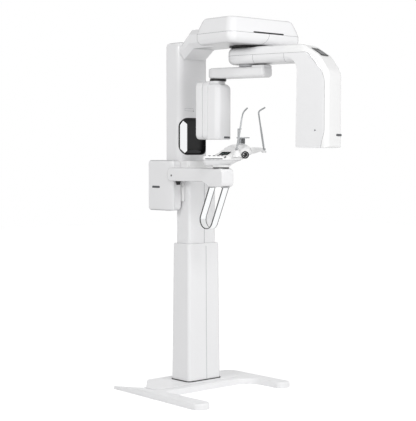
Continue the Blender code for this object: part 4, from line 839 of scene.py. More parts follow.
# The table's long front edge, its plan and its crest
diagonal_start = Vector((-0.250, -0.355, 0))
diagonal_along = (Vector((-0.050, -0.5351, 0)) - diagonal_start).normalized()
diagonal_out = Vector((diagonal_along.y, -diagonal_along.x, 0))
table_plan = rounded([(-0.250, -0.355), (-0.050, -0.5351), (0.045, -0.435), (0.045, -0.330),
                      (-0.050, -0.295), (-0.2055, -0.295), (-0.248, -0.343)],
                     [0.008, 0.030, 0.040, 0.030, 0.030, 0.020, 0.005], 8)
table_centre, table_points = Vector((-0.085, -0.395)), 144
wing_low, ridge_x, wing_x = 1.3841, -0.028, -0.140
ridge_z, hull_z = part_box("table_cover")[1].z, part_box("table_tray")[0].z
seam_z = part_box("table_tray")[1].z
# Where along the front edge the joint and the underside start to rise, and how steeply
seam_start, seam_slope, hull_start, hull_slope = 0.205, 0.55, 0.150, 0.58


def smooth_step(low, high, value):
    """0 below low, 1 above high, and a soft rise between."""
    share = min(max((value - low) / (high - low), 0.0), 1.0)
    return share * share * (3 - 2 * share)


def even_outline(points, count):
    """The same closed outline in evenly spaced points."""
    corners = [Vector(point) for point in points]
    spans = [(corners[(at + 1) % len(corners)] - corners[at]).length for at in range(len(corners))]
    total, result, at, done = sum(spans), [], 0, 0.0
    for index in range(count):
        target = total * index / count
        while done + spans[at] < target:
            done += spans[at]
            at += 1
        share = (target - done) / spans[at] if spans[at] else 0.0
        result.append(corners[at].lerp(corners[(at + 1) % len(corners)], share))
    return result


def soft_low(first, second, bend):
    """The lower of two heights, with a soft bend between them."""
    share = max(bend - abs(first - second), 0.0) / bend
    return min(first, second) - share * share * bend / 4


def table_top(x):
    """Height of the table's crown: low wing, straight slope, rounded crest."""
    line = wing_low + (ridge_z - wing_low) * (x - wing_x) / (ridge_x - wing_x)
    return -soft_low(-soft_low(line, ridge_z, 0.016), -wing_low, 0.016)


def edge_reach(place):
    """Distance along the table's long front edge, from its left end."""
    return (Vector(place) - diagonal_start.xy).dot(diagonal_along.xy)


def table_seam(place):
    """Height of the joint between the halves: level, then rising to the nose."""
    return seam_z + seam_slope * max(edge_reach(place) - seam_start, 0.0)


def table_bottom(place):
    """Height of the hull's underside: level over the neck, then rising."""
    rise = hull_z + hull_slope * max(edge_reach(place) - hull_start, 0.0)
    return soft_low(rise, table_seam(place) - 0.003, 0.012)


def table_half(name, upwards):
    """Upper or lower half of the table: a flat side at the seam, a soft crown."""
    outline = even_outline(table_plan, table_points)
    grow = hair if upwards else 0.0
    # Width of the rim's rounding over the wing, and what it gains towards the hump
    on_wing, more_on_hump = (0.007, 0.033) if upwards else (0.022, 0.040)
    loops = [[(*point, table_seam(point) + grow) for point in outline]]
    for turn in quarter(24)[1:]:
        loop = []
        for point in outline:
            reach = (point - table_centre).length
            to_hump = smooth_step(-0.215, -0.060, point.x)
            soft = on_wing + more_on_hump * to_hump
            # Steps are close at the rim and wide in the middle
            inset = reach * (1 - math.cos(turn))
            place = point.lerp(table_centre, min(inset / reach, 0.97))
            rise = math.sqrt(max(1 - max(1 - inset / soft, 0.0) ** 2.2, 0.0))
            rim = table_seam(place) + grow
            height = (table_top(place.x) if upwards else table_bottom(place)) - rim
            loop.append((place.x, place.y, rim + height * rise))
        loops.append(loop)
    return lofted(name, loops)


class PatientTable(bpy.types.Operator):
    """Table: neck disc, hull shaped tray and humped cover."""
    bl_idname = "scanner.patient_table"
    bl_label = "Patient table"

    def execute(self, context):
        # Painted shade on the hull in a greyer copy of the paint, painted light on the hump
        stand_in(table_half("table_hull", False), "hull", "table_tray")
        stand_in(table_half("table_hump", True), "tray", "table_cover")
        dressed("table_neck", "trim", 0.0008)
        # Grey joint between the halves, a hair proud of the side
        width = sizes().seam_width
        loops = []
        for inset, height in ((0.004, -width / 2), (-0.0004, -width / 2), (-0.0004, width / 2),
                              (0.004, width / 2)):
            loops.append([(*point.lerp(table_centre, inset / (point - table_centre).length),
                           table_seam(point) + height)
                          for point in even_outline(table_plan, table_points)])
        painted(lofted("table_joint", loops), "joint", "lift", "black_rubber", edge=None)
        # White flange that closes the hull down to the neck
        low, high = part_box("table_neck")
        middle = (low + high) / 2
        profile = [(0, 0.0055), (0.0475, 0.0055), (0.0500, 0.0070), (0.0570, 0.0175), (0, 0.0175)]
        flange = turned("table_flange", profile, (middle.x, middle.y, low.z))
        # The flange's tray finish is a brighter copy of the cover's paint: painted light
        painted(flange, "tray", "lift", "white_cover")
        return {"FINISHED"}


def on_diagonal(along, outward, height):
    """A point by the table's long front edge."""
    place = diagonal_start + diagonal_along * along + diagonal_out * outward
    return (place.x, place.y, height)


def diagonal_slab(name, outline, inside, outside):
    """A solid of an outline (along the edge, height) standing on the front edge."""
    return lofted(name, [[on_diagonal(along, outward, height) for along, height in outline]
                         for outward in (inside, outside)])


class TableControls(bpy.types.Operator):
    """Display and keys of the table's control wing, with painted shade by the keys and strip."""
    bl_idname = "scanner.table_controls"
    bl_label = "Display and keys"

    def execute(self, context):
        dressed("display_window", "glass", 0.0004)
        for index in range(1, 5):
            # A key cap that stands 4 mm out of the cover
            key_low, key_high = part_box(f"table_key_{index}")
            cap = copied(f"table_key_{index}")
            foot = Matrix.Translation((0, 0, key_low.z))
            cap.data.transform(foot @ Matrix.Diagonal((1, 1, 1.5, 1)) @ foot.inverted())
            stand_in(cap, "badge", f"table_key_{index}", edge=0.0006)
            # Painted shade in the gap round each key: a flat, wider black copy of it
            gap = copied(f"table_key_{index}")
            middle = (key_low + key_high) / 2
            sunk = Matrix.Translation((middle.x, middle.y, wing_low - 0.0004))
            gap.data.transform(sunk @ Matrix.Diagonal((1.1, 1.1, 0.3, 1))
                               @ Matrix.Translation(-middle))
            gap.name = f"table_key_gap_{index}"
            painted(gap, "trim", "lift", "black_plastic", edge=None)
        # Two plain lit bars on the display, 0.4 mm thick
        low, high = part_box("display_window")
        climb = Vector((high.x - low.x, 0, high.z - low.z - 0.0022)).normalized()
        above = Vector((-climb.z, 0, climb.x))
        foot = Vector((low.x, 0, low.z)) + above * 0.0024
        for index, (y_low, y_high) in enumerate(((-0.414, -0.392), (-0.384, -0.362))):
            bar = rounded(rectangle(0.013, y_low, 0.021, y_high), 0.002, 4)
            loops = []
            for lift_off in (0.0, 0.0004):
                loops.append([tuple(foot + climb * reach + above * lift_off + Vector((0, y, 0)))
                              for reach, y in bar])
            painted(lofted(f"display_bar_{index + 1}", loops), "lit", "lift", "dark_glass",
                    edge=None)
        # Painted shadow under the key strip's front edge, and the black window at its end
        line = rounded(rectangle(0.008, 1.3668, 0.106, 1.3712), 0.0018, 4)
        joint = diagonal_slab("key_strip_joint", line, -0.012, 0.0009)
        painted(joint, "badge", "lift", "black_rubber", edge=None)
        window = rounded([(0.1115, 1.3732), (0.1195, 1.3732), (0.1290, 1.3835), (0.1210, 1.3835)],
                         0.0015, 4)
        mark = diagonal_slab("key_strip_window", window, -0.020, 0.0004)
        painted(mark, "glass", "lift", "dark_glass", edge=None)
        return {"FINISHED"}


class TempleKnob(bpy.types.Operator):
    """Ribbed knob that spreads the temple rods, with a dial and its pointer."""
    bl_idname = "scanner.temple_knob"
    bl_label = "Temple knob"

    def execute(self, context):
        low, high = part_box("adjust_knob")
        seat = Vector(on_diagonal(0.234, 0.0003, (low.z + high.z) / 2))
        facing = Matrix.Translation(seat) @ Vector((0, 0, 1)).rotation_difference(
            diagonal_out).to_matrix().to_4x4()
        ring = turned("knob_ring", [(0, 0.001), (0.0145, 0.001), (0.0145, 0.0068), (0.0160, 0.0086),
                                    (0.0195, 0.0088), (0.0208, 0.0078), (0.0212, 0.0), (0.0, 0.0)])
        stand_in(ring, "trim", "adjust_knob", edge=0.0004, segments=2, at=facing)
        # Grip ribs round the ring, 3.7 mm apart
        rib = turned("rib", [(0, 0.0004), (0.00055, 0.0004), (0.00055, 0.0070), (0, 0.0076)],
                     steps=8)
        ribs = grown("knob_ribs", "ring", copy=rib, Count=sizes().dial_ribs, Radius=0.0213,
                     Finish=palette["trim"])
        painted(ribs, "trim", "knob", "black_plastic", edge=None, at=facing)
        face = turned("knob_face", [(0, 0.0008), (0.0144, 0.0008), (0.0144, 0.0048), (0, 0.0052)])
        painted(face, "cover", "knob", "grey_plastic", edge=0.0003, segments=2, at=facing)
        dial = turned("knob_dial", [(0, 0.005), (0.0120, 0.005), (0.0116, 0.0078), (0.0104, 0.0086),
                                    (0, 0.0088)])
        painted(dial, "trim", "knob", "black_plastic", edge=0.0003, segments=2, at=facing)
        pointer = prism("knob_pointer", rectangle(-0.0011, 0.0030, 0.0011, 0.0135), "Z", 0.0050,
                        0.0090, 0.0008, 4)
        painted(pointer, "cover", "knob", "grey_plastic", edge=None,
                at=facing @ Matrix.Rotation(math.radians(40), 4, "Z"))
        return {"FINISHED"}


def rod_path(side):
    """The points of a temple rod from its hinge over its bend to its tip."""
    sign, hinge_x = -1 if side == "left" else 1, 0.107
    hinge = Vector((sign * hinge_x, -0.475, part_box("temple_rod_" + side)[0].z + 0.007))
    # The right rod is bent higher and more sharply than the left one
    bend_z, tip_z, curl = (0.206, 0.231, 0.030) if side == "left" else (0.216, 0.238, 0.018)
    bend = hinge + Vector((sign * (0.0615 - hinge_x), 0, bend_z))
    tip = hinge + Vector((sign * (0.070 - hinge_x), -0.047, tip_z))
    first, second = (bend - hinge).normalized(), (tip - bend).normalized()
    ease_in, ease_out = bend - first * curl, bend + second * curl * 0.8
    run = [hinge + first * 0.004]
    run += [ease_in * (1 - share) ** 2 + bend * 2 * share * (1 - share) + ease_out * share ** 2
            for share in [step / 8 for step in range(9)]]
    return run + [tip - second * 0.0012, tip - second * 0.0004, tip], hinge, first


def rod_solid(name, run, radii):
    """A round solid along a run of points, a radius for each."""
    steps = 20
    loops = []
    for at, place in enumerate(run):
        heading = (run[min(at + 1, len(run) - 1)] - run[max(at - 1, 0)]).normalized()
        side = heading.cross(Vector((0, 1, 0.3))).normalized()
        other = heading.cross(side).normalized()
        loops.append([tuple(place + (side * math.cos(turn) + other * math.sin(turn)) * radii[at])
                      for turn in [math.tau * step / steps for step in range(steps)]])
    return lofted(name, loops)


class RodYoke(bpy.types.Operator):
    """Yoke on the table that carries both temple rods."""
    bl_idname = "scanner.rod_yoke"
    bl_label = "Rod yoke"

    def execute(self, context):
        low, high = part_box("rod_bracket")
        loops = []
        for x, y_low, y_high, z_low, z_high in (
                (-0.020, -0.505, -0.415, 1.396, 1.4330), (0.018, -0.500, -0.425, 1.3985, 1.4345),
                (0.040, -0.494, -0.440, 1.4030, 1.4345), (0.066, -0.489, -0.456, 1.4080, 1.4335),
                (0.086, -0.488, -0.462, 1.4100, 1.4310), (0.094, low.y, high.y, 1.4090, 1.4220),
                (0.0985, low.y, high.y, 1.4050, high.z), (0.112, low.y, high.y, 1.4030, high.z),
                (high.x, low.y + 0.004, high.y - 0.004, 1.4050, high.z - 0.002)):
            bend = min(0.009, (z_high - z_low) * 0.4)
            section = rounded(rectangle(y_low, z_low, y_high, z_high), bend, 6)
            loops.append([(x, y, z) for y, z in section])
        # The yoke in the tray finish, a brighter copy of the cover's paint: painted light
        stand_in(lofted("rod_yoke", loops), "tray", "rod_bracket")
        # White boss on the table's shoulder round the left post
        low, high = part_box("rod_post")
        boss = turned("rod_boss", [(0, -0.036), (0.030, -0.036), (0.024, -0.020), (0.0165, -0.008),
                                   (0.0115, -0.0015), (0.0095, -0.0002), (0, 0.0)],
                      ((low.x + high.x) / 2, (low.y + high.y) / 2, high.z))
        # The boss in the same tray finish: painted light
        stand_in(boss, "tray", "rod_post")
        # Dark locking ring between the yoke and the right hinge
        ring = turned("rod_yoke_ring", [(0, 0), (0.0075, 0), (0.0082, 0.0007), (0.0082, 0.0043),
                                        (0.0075, 0.0050), (0, 0.0050)], (0.0905, -0.475, 1.4155),
                      (1, 0, 0), 28)
        painted(ring, "badge", "lift", "black_plastic")
        return {"FINISHED"}


class TempleRods(bpy.types.Operator):
    """Two steel rods that hold the patient's temples, with their hinges and sleeves."""
    bl_idname = "scanner.temple_rods"
    bl_label = "Temple rods"

    def execute(self, context):
        barrel_profile = [(0, -0.008), (0.0062, -0.008), (0.007, -0.0072), (0.007, 0.0072),
                          (0.0062, 0.008), (0, 0.008)]
        for side in ("left", "right"):
            run, hinge, first = rod_path(side)
            radii = [0.0044] * (len(run) - 2) + [0.0038, 0.0024]
            rod = rod_solid(f"temple_rod_{side}_steel", run, radii)
            stand_in(rod, "rod", f"temple_rod_{side}")
            barrel = turned(f"temple_rod_{side}_hinge", barrel_profile, hinge, (0, 1, 0))
            painted(barrel, "keys", f"temple_rod_{side}", "grey_plastic")
            # Soft sleeve over the lower part, where it touches the patient
            reach, ending = (run[1] - run[0]).length, [0.0046, 0.0053, 0.0056]
            spots = [run[0] + first * reach * share
                     for share in (0.05, 0.062, 0.075, 0.60, 0.612, 0.62)]
            sleeve = rod_solid(f"temple_sleeve_{side}", spots, ending + ending[::-1])
            painted(sleeve, "silicone", f"temple_rod_{side}", "grey_plastic")
        return {"FINISHED"}


class ChinSupport(bpy.types.Operator):
    """Chin rest with upright fins, and bite post, of smoky clear plastic."""
    bl_idname = "scanner.chin_support"
    bl_label = "Chin rest and bite post"

    def execute(self, context):
        low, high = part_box("chin_rest")
        plate_low = high.z - 0.0075
        rest = crowned("chin_plate", rectangle(-0.028, low.y, 0.028, high.y),
                       [0.020, 0.020, 0.006, 0.006], "Z", plate_low, high.z, 0.002, 0.002)
        dish = turned("dish", [(0, 0.0), (0.010, 0.0), (0.019, 0.004), (0.021, 0.008), (0, 0.008)],
                      (0, -0.424, high.z - 0.0042))
        stand_in(carved(rest, dish), "smoky", "chin_rest", edge=0.0005, segments=2)
        foot = crowned("chin_foot", rectangle(-0.017, -0.4125, 0.017, -0.3875), 0.006, "Z", low.z,
                       low.z + 0.006, 0, 0.002)
        painted(foot, "smoky", "lift", "clear_grey_plastic")
        # Upright fins between the foot and the plate, 6.4 mm apart
        fin = prism("fin", rectangle(-0.0011, -0.4120, 0.0011, -0.3880), "Z", low.z + 0.005,
                    plate_low + 0.001, 0.0008, 3)
        fin.data.transform(Matrix.Translation((-0.016, 0, 0)))
        fins = grown("chin_fins", "row", copy=fin, Count=6, Pitch=(0.0064, 0, 0),
                     Finish=palette["silicone"])
        painted(fins, "silicone", "lift", "clear_grey_plastic", edge=None)
        dressed("bite_post", "smoky", 0.0008)
        return {"FINISHED"}


class RearCover(bpy.types.Operator):
    """Cover on the upper column's back, with two vents and its screws."""
    bl_idname = "scanner.rear_cover"
    bl_label = "Rear cover"

    def execute(self, context):
        low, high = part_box("column_rear_cover")
        cover = copied("column_rear_cover")
        count, pitch = sizes().vent_count, sizes().vent_pitch
        margin, half = 0.055, 0.0019
        for base in (low.z + margin, high.z - margin - pitch * (count - 1)):
            slot = prism("slot", rectangle(-0.052, base - half, 0.052, base + half), "Y",
                         low.y - past, high.y + past, 0.0018, 4)
            vent = grown("vent_slots", "row", copy=slot, Count=count, Pitch=(0, 0, pitch),
                         Finish=palette["cover"])
            cover = carved(cover, vent)
        stand_in(cover, "cover", "column_rear_cover", edge=0.0006, segments=2)
        # Low round head with a socket in it
        radius = sizes().screw_radius
        profile = [(0, 0.0004), (radius * 0.45, 0.0004), (radius * 0.45, 0.0015),
                   (radius * 0.8, 0.0015), (radius, 0.0009), (radius, -0.001), (0, -0.001)]
        for at, x in enumerate((-0.084, 0.084)):
            screw = turned("screw", profile, (x, high.y, low.z + 0.018), (0, 1, 0), 24)
            screws = grown(f"rear_cover_screws_{at + 1}", "row", copy=screw, Count=5,
                           Pitch=(0, 0, (high.z - low.z - 0.036) / 4), Finish=palette["steel"])
            painted(screws, "steel", "lift", "machined_steel")
        return {"FINISHED"}


class UpperColumn(bpy.types.Operator):
    """Upper column with the mirror niche."""
    bl_idname = "scanner.upper_column"
    bl_label = "Upper column"

    def execute(self, context):
        dressed("upper_column", "cover", 0.0012)
        dressed("niche_liner", "trim", 0.0008)
        front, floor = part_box("upper_column")[0].y, 0.0465
        # Mirror facet with cut corners, on a black backing inside the niche
        facet = [(-0.1015, 1.5690), (-0.0772, 1.5960), (-0.0456, 1.5760), (-0.0456, 1.4150),
                 (-0.0654, 1.4030), (-0.1015, 1.4285)]
        around = inner_corners(facet, 0, -0.0022)[0]
        painted(prism("mirror_backing", around, "Y", 0.0300, floor), "trim", "lift",
                "black_plastic", edge=None)
        mirror = prism("mirror_plate", facet, "Y", 0.0280, 0.0304)
        stand_in(mirror, "mirror", "mirror_facet", edge=0.0003, segments=1)
        # Glossy lip with an arched top at the foot of the niche
        arch = [(0.012 + 0.064 * math.cos(turn), 1.4030 + 0.020 * math.sin(turn))
                for turn in [math.pi * step / 24 for step in range(25)]]
        arch += [(-0.050, 1.3985), (0.066, 1.3985)]
        lip = crowned("niche_lip", arch, 0, "Y", 0.0330, 0.0462, 0.0030, 0)
        painted(lip, "piano", "lift", "black_plastic")
        # Fine engraved frame and a pin above the niche
        around = rounded(rectangle(-0.0750, 1.6540, -0.0080, 1.6700), 0.003, 5)
        within = rounded(rectangle(-0.0740, 1.6550, -0.0090, 1.6690), 0.0022, 5)
        engraving = carved(prism("column_engraving", around, "Y", front - hair, front + 0.002),
                           prism("core", within, "Y", front - past, front + past))
        painted(engraving, "joint", "lift", "white_cover", edge=None)
        pin = turned("column_pin", [(0, 0), (0.0022, 0), (0.0022, 0.0008), (0, 0.0010)],
                     (-0.008, front + 0.0002, 1.653), (0, -1, 0), 20)
        painted(pin, "badge", "lift", "black_plastic", edge=None)
        return {"FINISHED"}


class TopBracket(bpy.types.Operator):
    """Faceted bracket from the upper column to the head housing."""
    bl_idname = "scanner.top_bracket"
    bl_label = "Top bracket"

    def execute(self, context):
        low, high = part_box("top_bracket")
        column_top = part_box("upper_column")[1].z
        points = [(high.y, low.z), (high.y, column_top), (-0.060, high.z), (low.y, high.z),
                  (low.y, 2.018), (-0.072, 2.018)]
        bracket = crowned("bracket_shell", points, [0, 0, 0.030, 0, 0, 0.022], "X", low.x, high.x,
                          0.030, 0.030, fixed=(0, 3), steps=1)
        stand_in(bracket, "cover", "top_bracket", edge=0.003, limit=25)
        return {"FINISHED"}


def housing_box(grow=0.0):
    """Corners of the housing's plan, grown by a margin."""
    low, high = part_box("housing_lower")
    return rectangle(low.x - grow, low.y - grow, high.x + grow, high.y + grow)


class HeadHousing(bpy.types.Operator):
    """Head housing: a softly rounded lower cover, a tapered upper cover, a slit."""
    bl_idname = "scanner.head_housing"
    bl_label = "Head housing"

    def execute(self, context):
        low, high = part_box("housing_lower")
        wall, seam, bend = 0.005, sizes().seam_width, 0.046
        lower = crowned("housing_lower_cover", housing_box(), bend, "Z", low.z, high.z, 0.036, 0)
        pocket = crowned("pocket", housing_box(-wall), bend - wall, "Z", low.z + wall,
                         high.z + past, 0.031, 0)
        hole = turned("hole", [(0, low.z - past), (0.0655, low.z - past), (0.0655, high.z),
                               (0, high.z)], (0, axis_y, 0))
        stand_in(carved(lower, pocket, hole), "cover", "housing_lower", edge=0.0006, segments=2)

        # Upper cover: its plan draws in with its height, outside and inside
        base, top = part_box("housing_upper")[0].z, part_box("housing_upper")[1].z
        height = top - base
        outer = ((0.0, 0.0), (0.002, 0.012), (0.010, 0.036), (0.020, 0.062), (0.026, 0.076),
                 (0.031, 0.083), (0.038, 0.0875), (0.050, height))
        inner = ((wall, -past), (0.014, 0.03), (0.034, 0.070), (0.048, height - wall))
        solids = []
        for name, levels, narrowing, corner_steps in (("housing_upper_cover", outer, 0.3, 14),
                                                      ("inner", inner, 0.0, 6)):
            solids.append(lofted(name, [
                [(x, y, base + rise) for x, y in
                 rounded(housing_box(-inset), 0.050 - inset * narrowing, corner_steps)]
                for inset, rise in levels]))
        opening = prism("opening", rectangle(-0.104, low.y - 0.02, 0.132, low.y + 0.008), "Z",
                        base - past, base + 0.0083)
        stand_in(carved(*solids, opening), "cover", "housing_upper", edge=0.0008, segments=2)
        dressed("housing_slit", "trim", 0.0)

        # Curved joint of the service lid at the front
        skin = crowned("lid_joint", housing_box(hair), bend, "Z", low.z - hair, high.z, 0.036, 0)
        path = [(0.0200, 2.0686), (0.0175, 2.0600), (0.0111, 2.0455), (-0.0031, 2.0249),
                (-0.0219, 2.0100), (-0.034, 2.000)]
        strip = prism("strip", beside(rounded(path, [0, 0.02, 0.02, 0.02, 0.02, 0]), seam), "Y",
                      low.y - past, low.y + 0.05)
        thin = 0.002
        core = crowned("core", housing_box(-thin), bend - thin, "Z", low.z + thin, high.z + past,
                       0.034, 0)
        painted(carved(carved(skin, strip, operation="INTERSECT"), core), "joint", "lift",
                "black_rubber", edge=None)
        # The joint between the covers, cut away where the dark slit is
        ring = prism("ring", housing_box(0.00035), "Z", high.z - seam / 2, high.z + seam / 2, bend,
                     14)
        core, gap = (prism("core", outline, "Z", high.z - past, high.z + past)
                     for outline in (rounded(housing_box(-thin), bend - thin, 14),
                                     rectangle(-0.106, low.y - 0.02, 0.134, low.y + 0.02)))
        painted(carved(ring, core, gap), "joint", "lift", "black_rubber", edge=None)
        return {"FINISHED"}


class FocusStage(bpy.types.Operator):
    """Rails, stage plate, slewing bearing and motor inside the housing."""
    bl_idname = "scanner.focus_stage"
    bl_label = "Focus stage"

    def execute(self, context):
        dressed("stage_rail_frame", "steel", sizes().metal_edge)
        dressed("stage_plate", "casting", sizes().metal_edge)
        dressed("slewing_ring", "steel", sizes().metal_edge)
        dressed("turn_motor", "enamel", 0.0015)
        return {"FINISHED"}


# At rest the rotor's arms stand turned about the head's axis
rotor_turn = Matrix.Translation((0, axis_y, 0)) @ Matrix.Rotation(math.radians(-74.5), 4, "Z")


def beside(path, width):
    """A thin outline that follows an open path of points."""
    points = [Vector(point) for point in path]
    left, right = [], []
    for at, point in enumerate(points):
        before = (point - points[at - 1]).normalized() if at else None
        after = (points[at + 1] - point).normalized() if at + 1 < len(points) else before
        along = ((before or after) + after).normalized()
        across = Vector((-along.y, along.x)) * width / 2
        left.append(tuple(point + across))
        right.append(tuple(point - across))
    return left + right[::-1]


# The tube arm's heights and foot, its half width, its two ends and its corners in plan
tube_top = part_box("tube_arm_cover")[1].z
tube_middle, arm_low, tube_low = tube_top - 0.0475, tube_top - 0.095, tube_top - 0.570
tube_half, arm_back, arm_root = 0.0945, -0.118, 0.280
arm_bends, arm_soft = [0.0915, 0, 0, 0.0915], 0.031


class TubeArm(bpy.types.Operator):
    """Turntable and the tube arm under it, with the joints round the arm."""
    bl_idname = "scanner.tube_arm"
    bl_label = "Tube arm"

    def execute(self, context):
        # Soft lower and upper edges that run on into the head
        arm = rectangle(arm_back, -tube_half, arm_root, tube_half)
        lower = crowned("tube_arm_shell", arm, arm_bends, "Z", arm_low, tube_middle, arm_soft, 0,
                        fixed=(1,))
        cover = crowned("tube_arm_top_shell", arm, arm_bends, "Z", tube_middle + hair, tube_top, 0,
                        arm_soft, fixed=(1,))
        stand_in(lower, "cover", "tube_arm_lower", at=rotor_turn)
        stand_in(cover, "cover", "tube_arm_cover", at=rotor_turn)

        # Joints: a belt at mid height and two rings, a hair out of the surface
        seam, side = sizes().seam_width, tube_half + hair
        around = rectangle(arm_back - hair, -side, arm_root + hair, side)
        joints = [prism("tube_arm_joint", around, "Z", tube_middle - seam / 2,
                        tube_middle + seam / 2, arm_bends)]
        for name, reach in (("tube_arm_rear_joint", 0.081),
                            ("tube_arm_front_joint", arm_root + hair)):
            ring = crowned(name, rectangle(arm_back, -side, 0.32, side), arm_bends, "Z",
                           arm_low - hair, tube_middle, arm_soft, 0)
            thin = prism("thin", rectangle(reach - seam / 2, -0.2, reach + seam / 2, 0.2), "Z",
                         arm_low - 0.05, tube_middle + 0.05)
            joints.append(carved(ring, thin, operation="INTERSECT"))
        for joint in joints:
            painted(joint, "joint", "rotor", "black_rubber", edge=None, at=rotor_turn)
        dressed("turntable", "trim", 0.0012)
        return {"FINISHED"}


# The tube head's side view: crown and foot of its slope, outline and corners
crown, slope = Vector((0.390, tube_top)), Vector((0.490, tube_top - 0.065))
head_profile = [(0.200, arm_low), (0.363, arm_low), (0.355, tube_low), (0.550, tube_low),
                (0.550, tube_top - 0.155), slope, crown, (0.200, tube_top)]
head_bends = [0, 0.052, 0.012, 0.012, 0.090, 0.120, 0.100, 0]


def whole_head(name, grow=0.0):
    """The whole tube head as one soft edged solid across the rotor's width."""
    moved, radii = inner_corners(head_profile, head_bends, -grow)
    return crowned(name, moved, radii, "Y", -tube_half - grow, tube_half + grow, arm_soft, arm_soft,
                   fixed=(1, 2, 7))


def shared(piece, cutter):
    """What a piece shares with a cutter and with all that lies beyond the arm."""
    beyond = prism("beyond", rectangle(arm_root + hair, tube_low - 0.1, 0.8, tube_top + 0.2), "Y",
                   -0.3, 0.3)
    return carved(piece, beyond, cutter, operation="INTERSECT")


class TubeHead(bpy.types.Operator):
    """X-ray tube head: its two shells, their joint, the status window and what it holds."""
    bl_idname = "scanner.tube_head"
    bl_label = "Tube head"

    def execute(self, context):
        # Joint line: down the slope, down the face, then in towards the foot
        foot, wide = tube_low - 0.05, 0.2
        line = rounded([(0.2, tube_middle), (0.425, tube_middle), (0.531, tube_top - 0.175),
                        (0.531, tube_low + 0.085), (0.496, foot)], [0, 0.040, 0.120, 0.120, 0])
        inside = line + [(arm_root + hair, foot), (0.2, foot)]
        outside = [(r + hair, z + hair) for r, z in line] + [
            (0.7, foot), (0.7, tube_top + 0.1), (0.2, tube_top + 0.1)]
        body = shared(whole_head("tube_head_shell"), prism("inside", inside, "Y", -wide, wide))
        hollow = prism("hollow", rectangle(-0.082, tube_low + 0.020, 0.082, tube_low + 0.410), "X",
                       0.375, 0.530, 0.012)
        stand_in(carved(body, hollow), "cover", "tube_head_body", edge=0.0022, at=rotor_turn)
        shell = shared(whole_head("tube_head_outer_shell"),
                       prism("outside", outside, "Y", -wide, wide))
        stand_in(shell, "shell", "tube_head_cover", at=rotor_turn)
        joint = shared(whole_head("tube_head_joint", hair),
                       prism("strip", beside(line, sizes().seam_width), "Y", -wide, wide))
        painted(joint, "joint", "rotor", "black_rubber", edge=None, at=rotor_turn)

        # Status window on the slope, a little longer than its solid, and the screen in it
        fall = (slope - crown).normalized()
        centre = crown.lerp(slope, 0.66)
        on_slope = rotor_turn @ Matrix(((fall.x, 0, -fall.y, centre.x), (0, 1, 0, 0),
                                        (fall.y, 0, fall.x, centre.y), (0, 0, 0, 1)))
        pane = crowned("status_window_pane", rectangle(-0.040, -0.045, 0.040, 0.045), 0.010, "Z",
                       -0.0035, 0.0008, 0, 0.0005)
        stand_in(pane, "glass", "status_window", at=on_slope)
        screen = crowned("status_screen", rectangle(-0.014, -0.026, 0.026, 0.026), 0.003, "Z",
                         0.0006, 0.0011, 0, 0.0002)
        painted(screen, "badge", "rotor", "dark_glass", at=on_slope)
        # Plain plate low on the outer face, and a side marker dot
        plate = crowned("tube_head_plate", rectangle(0.015, 1.4935, 0.080, 1.5065), 0.006, "X",
                        0.548, 0.5508, 0, 0.0004)
        painted(plate, "badge", "rotor", "black_plastic", at=rotor_turn)
        profile = [(0, -0.002), (0.0042, -0.002), (0.0042, 0.0006), (0, 0.0009)]
        dot = turned("tube_head_dot", profile, (0.476, -tube_half, 1.525), (0, -1, 0), 24)
        painted(dot, "badge", "rotor", "black_plastic", at=rotor_turn)
        dressed("xray_tube_block", "enamel", 0.002)
        dressed("collimator", "enamel", sizes().metal_edge)
        return {"FINISHED"}


class DetectorArm(bpy.types.Operator):
    """Detector arm with its block, its pivot disc and the neck under it."""
    bl_idname = "scanner.detector_arm"
    bl_label = "Detector arm"

    def execute(self, context):
        low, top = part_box("detector_arm")[0].z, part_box("detector_arm")[1].z
        arm = crowned("detector_arm_shell", rectangle(-0.261, -0.053, 0.130, 0.053),
                      [0.052, 0.021, 0.021, 0.052], "Z", low, top, 0.020, 0.016)
        stand_in(arm, "cover", "detector_arm", at=rotor_turn)
        # Raised block at the arm's outer end, with a thin dark slide plate on it
        block = crowned("detector_arm_block", rectangle(0.042, -0.050, 0.127, 0.050), 0.014, "Z",
                        top - 0.012, top + 0.0062, 0, 0.003)
        painted(block, "cover", "detector_arm", "white_cover", at=rotor_turn)
        plate = prism("detector_arm_plate", rectangle(0.048, -0.044, 0.121, 0.044), "Z",
                      top + 0.0060, top + 0.0085, 0.012)
        painted(plate, "trim", "detector_arm", "black_plastic", edge=0.0005, segments=2,
                at=rotor_turn)
        dressed("pivot_disc", "keys", 0.0006)
        dressed("detector_neck", "trim", 0.0008)
        return {"FINISHED"}


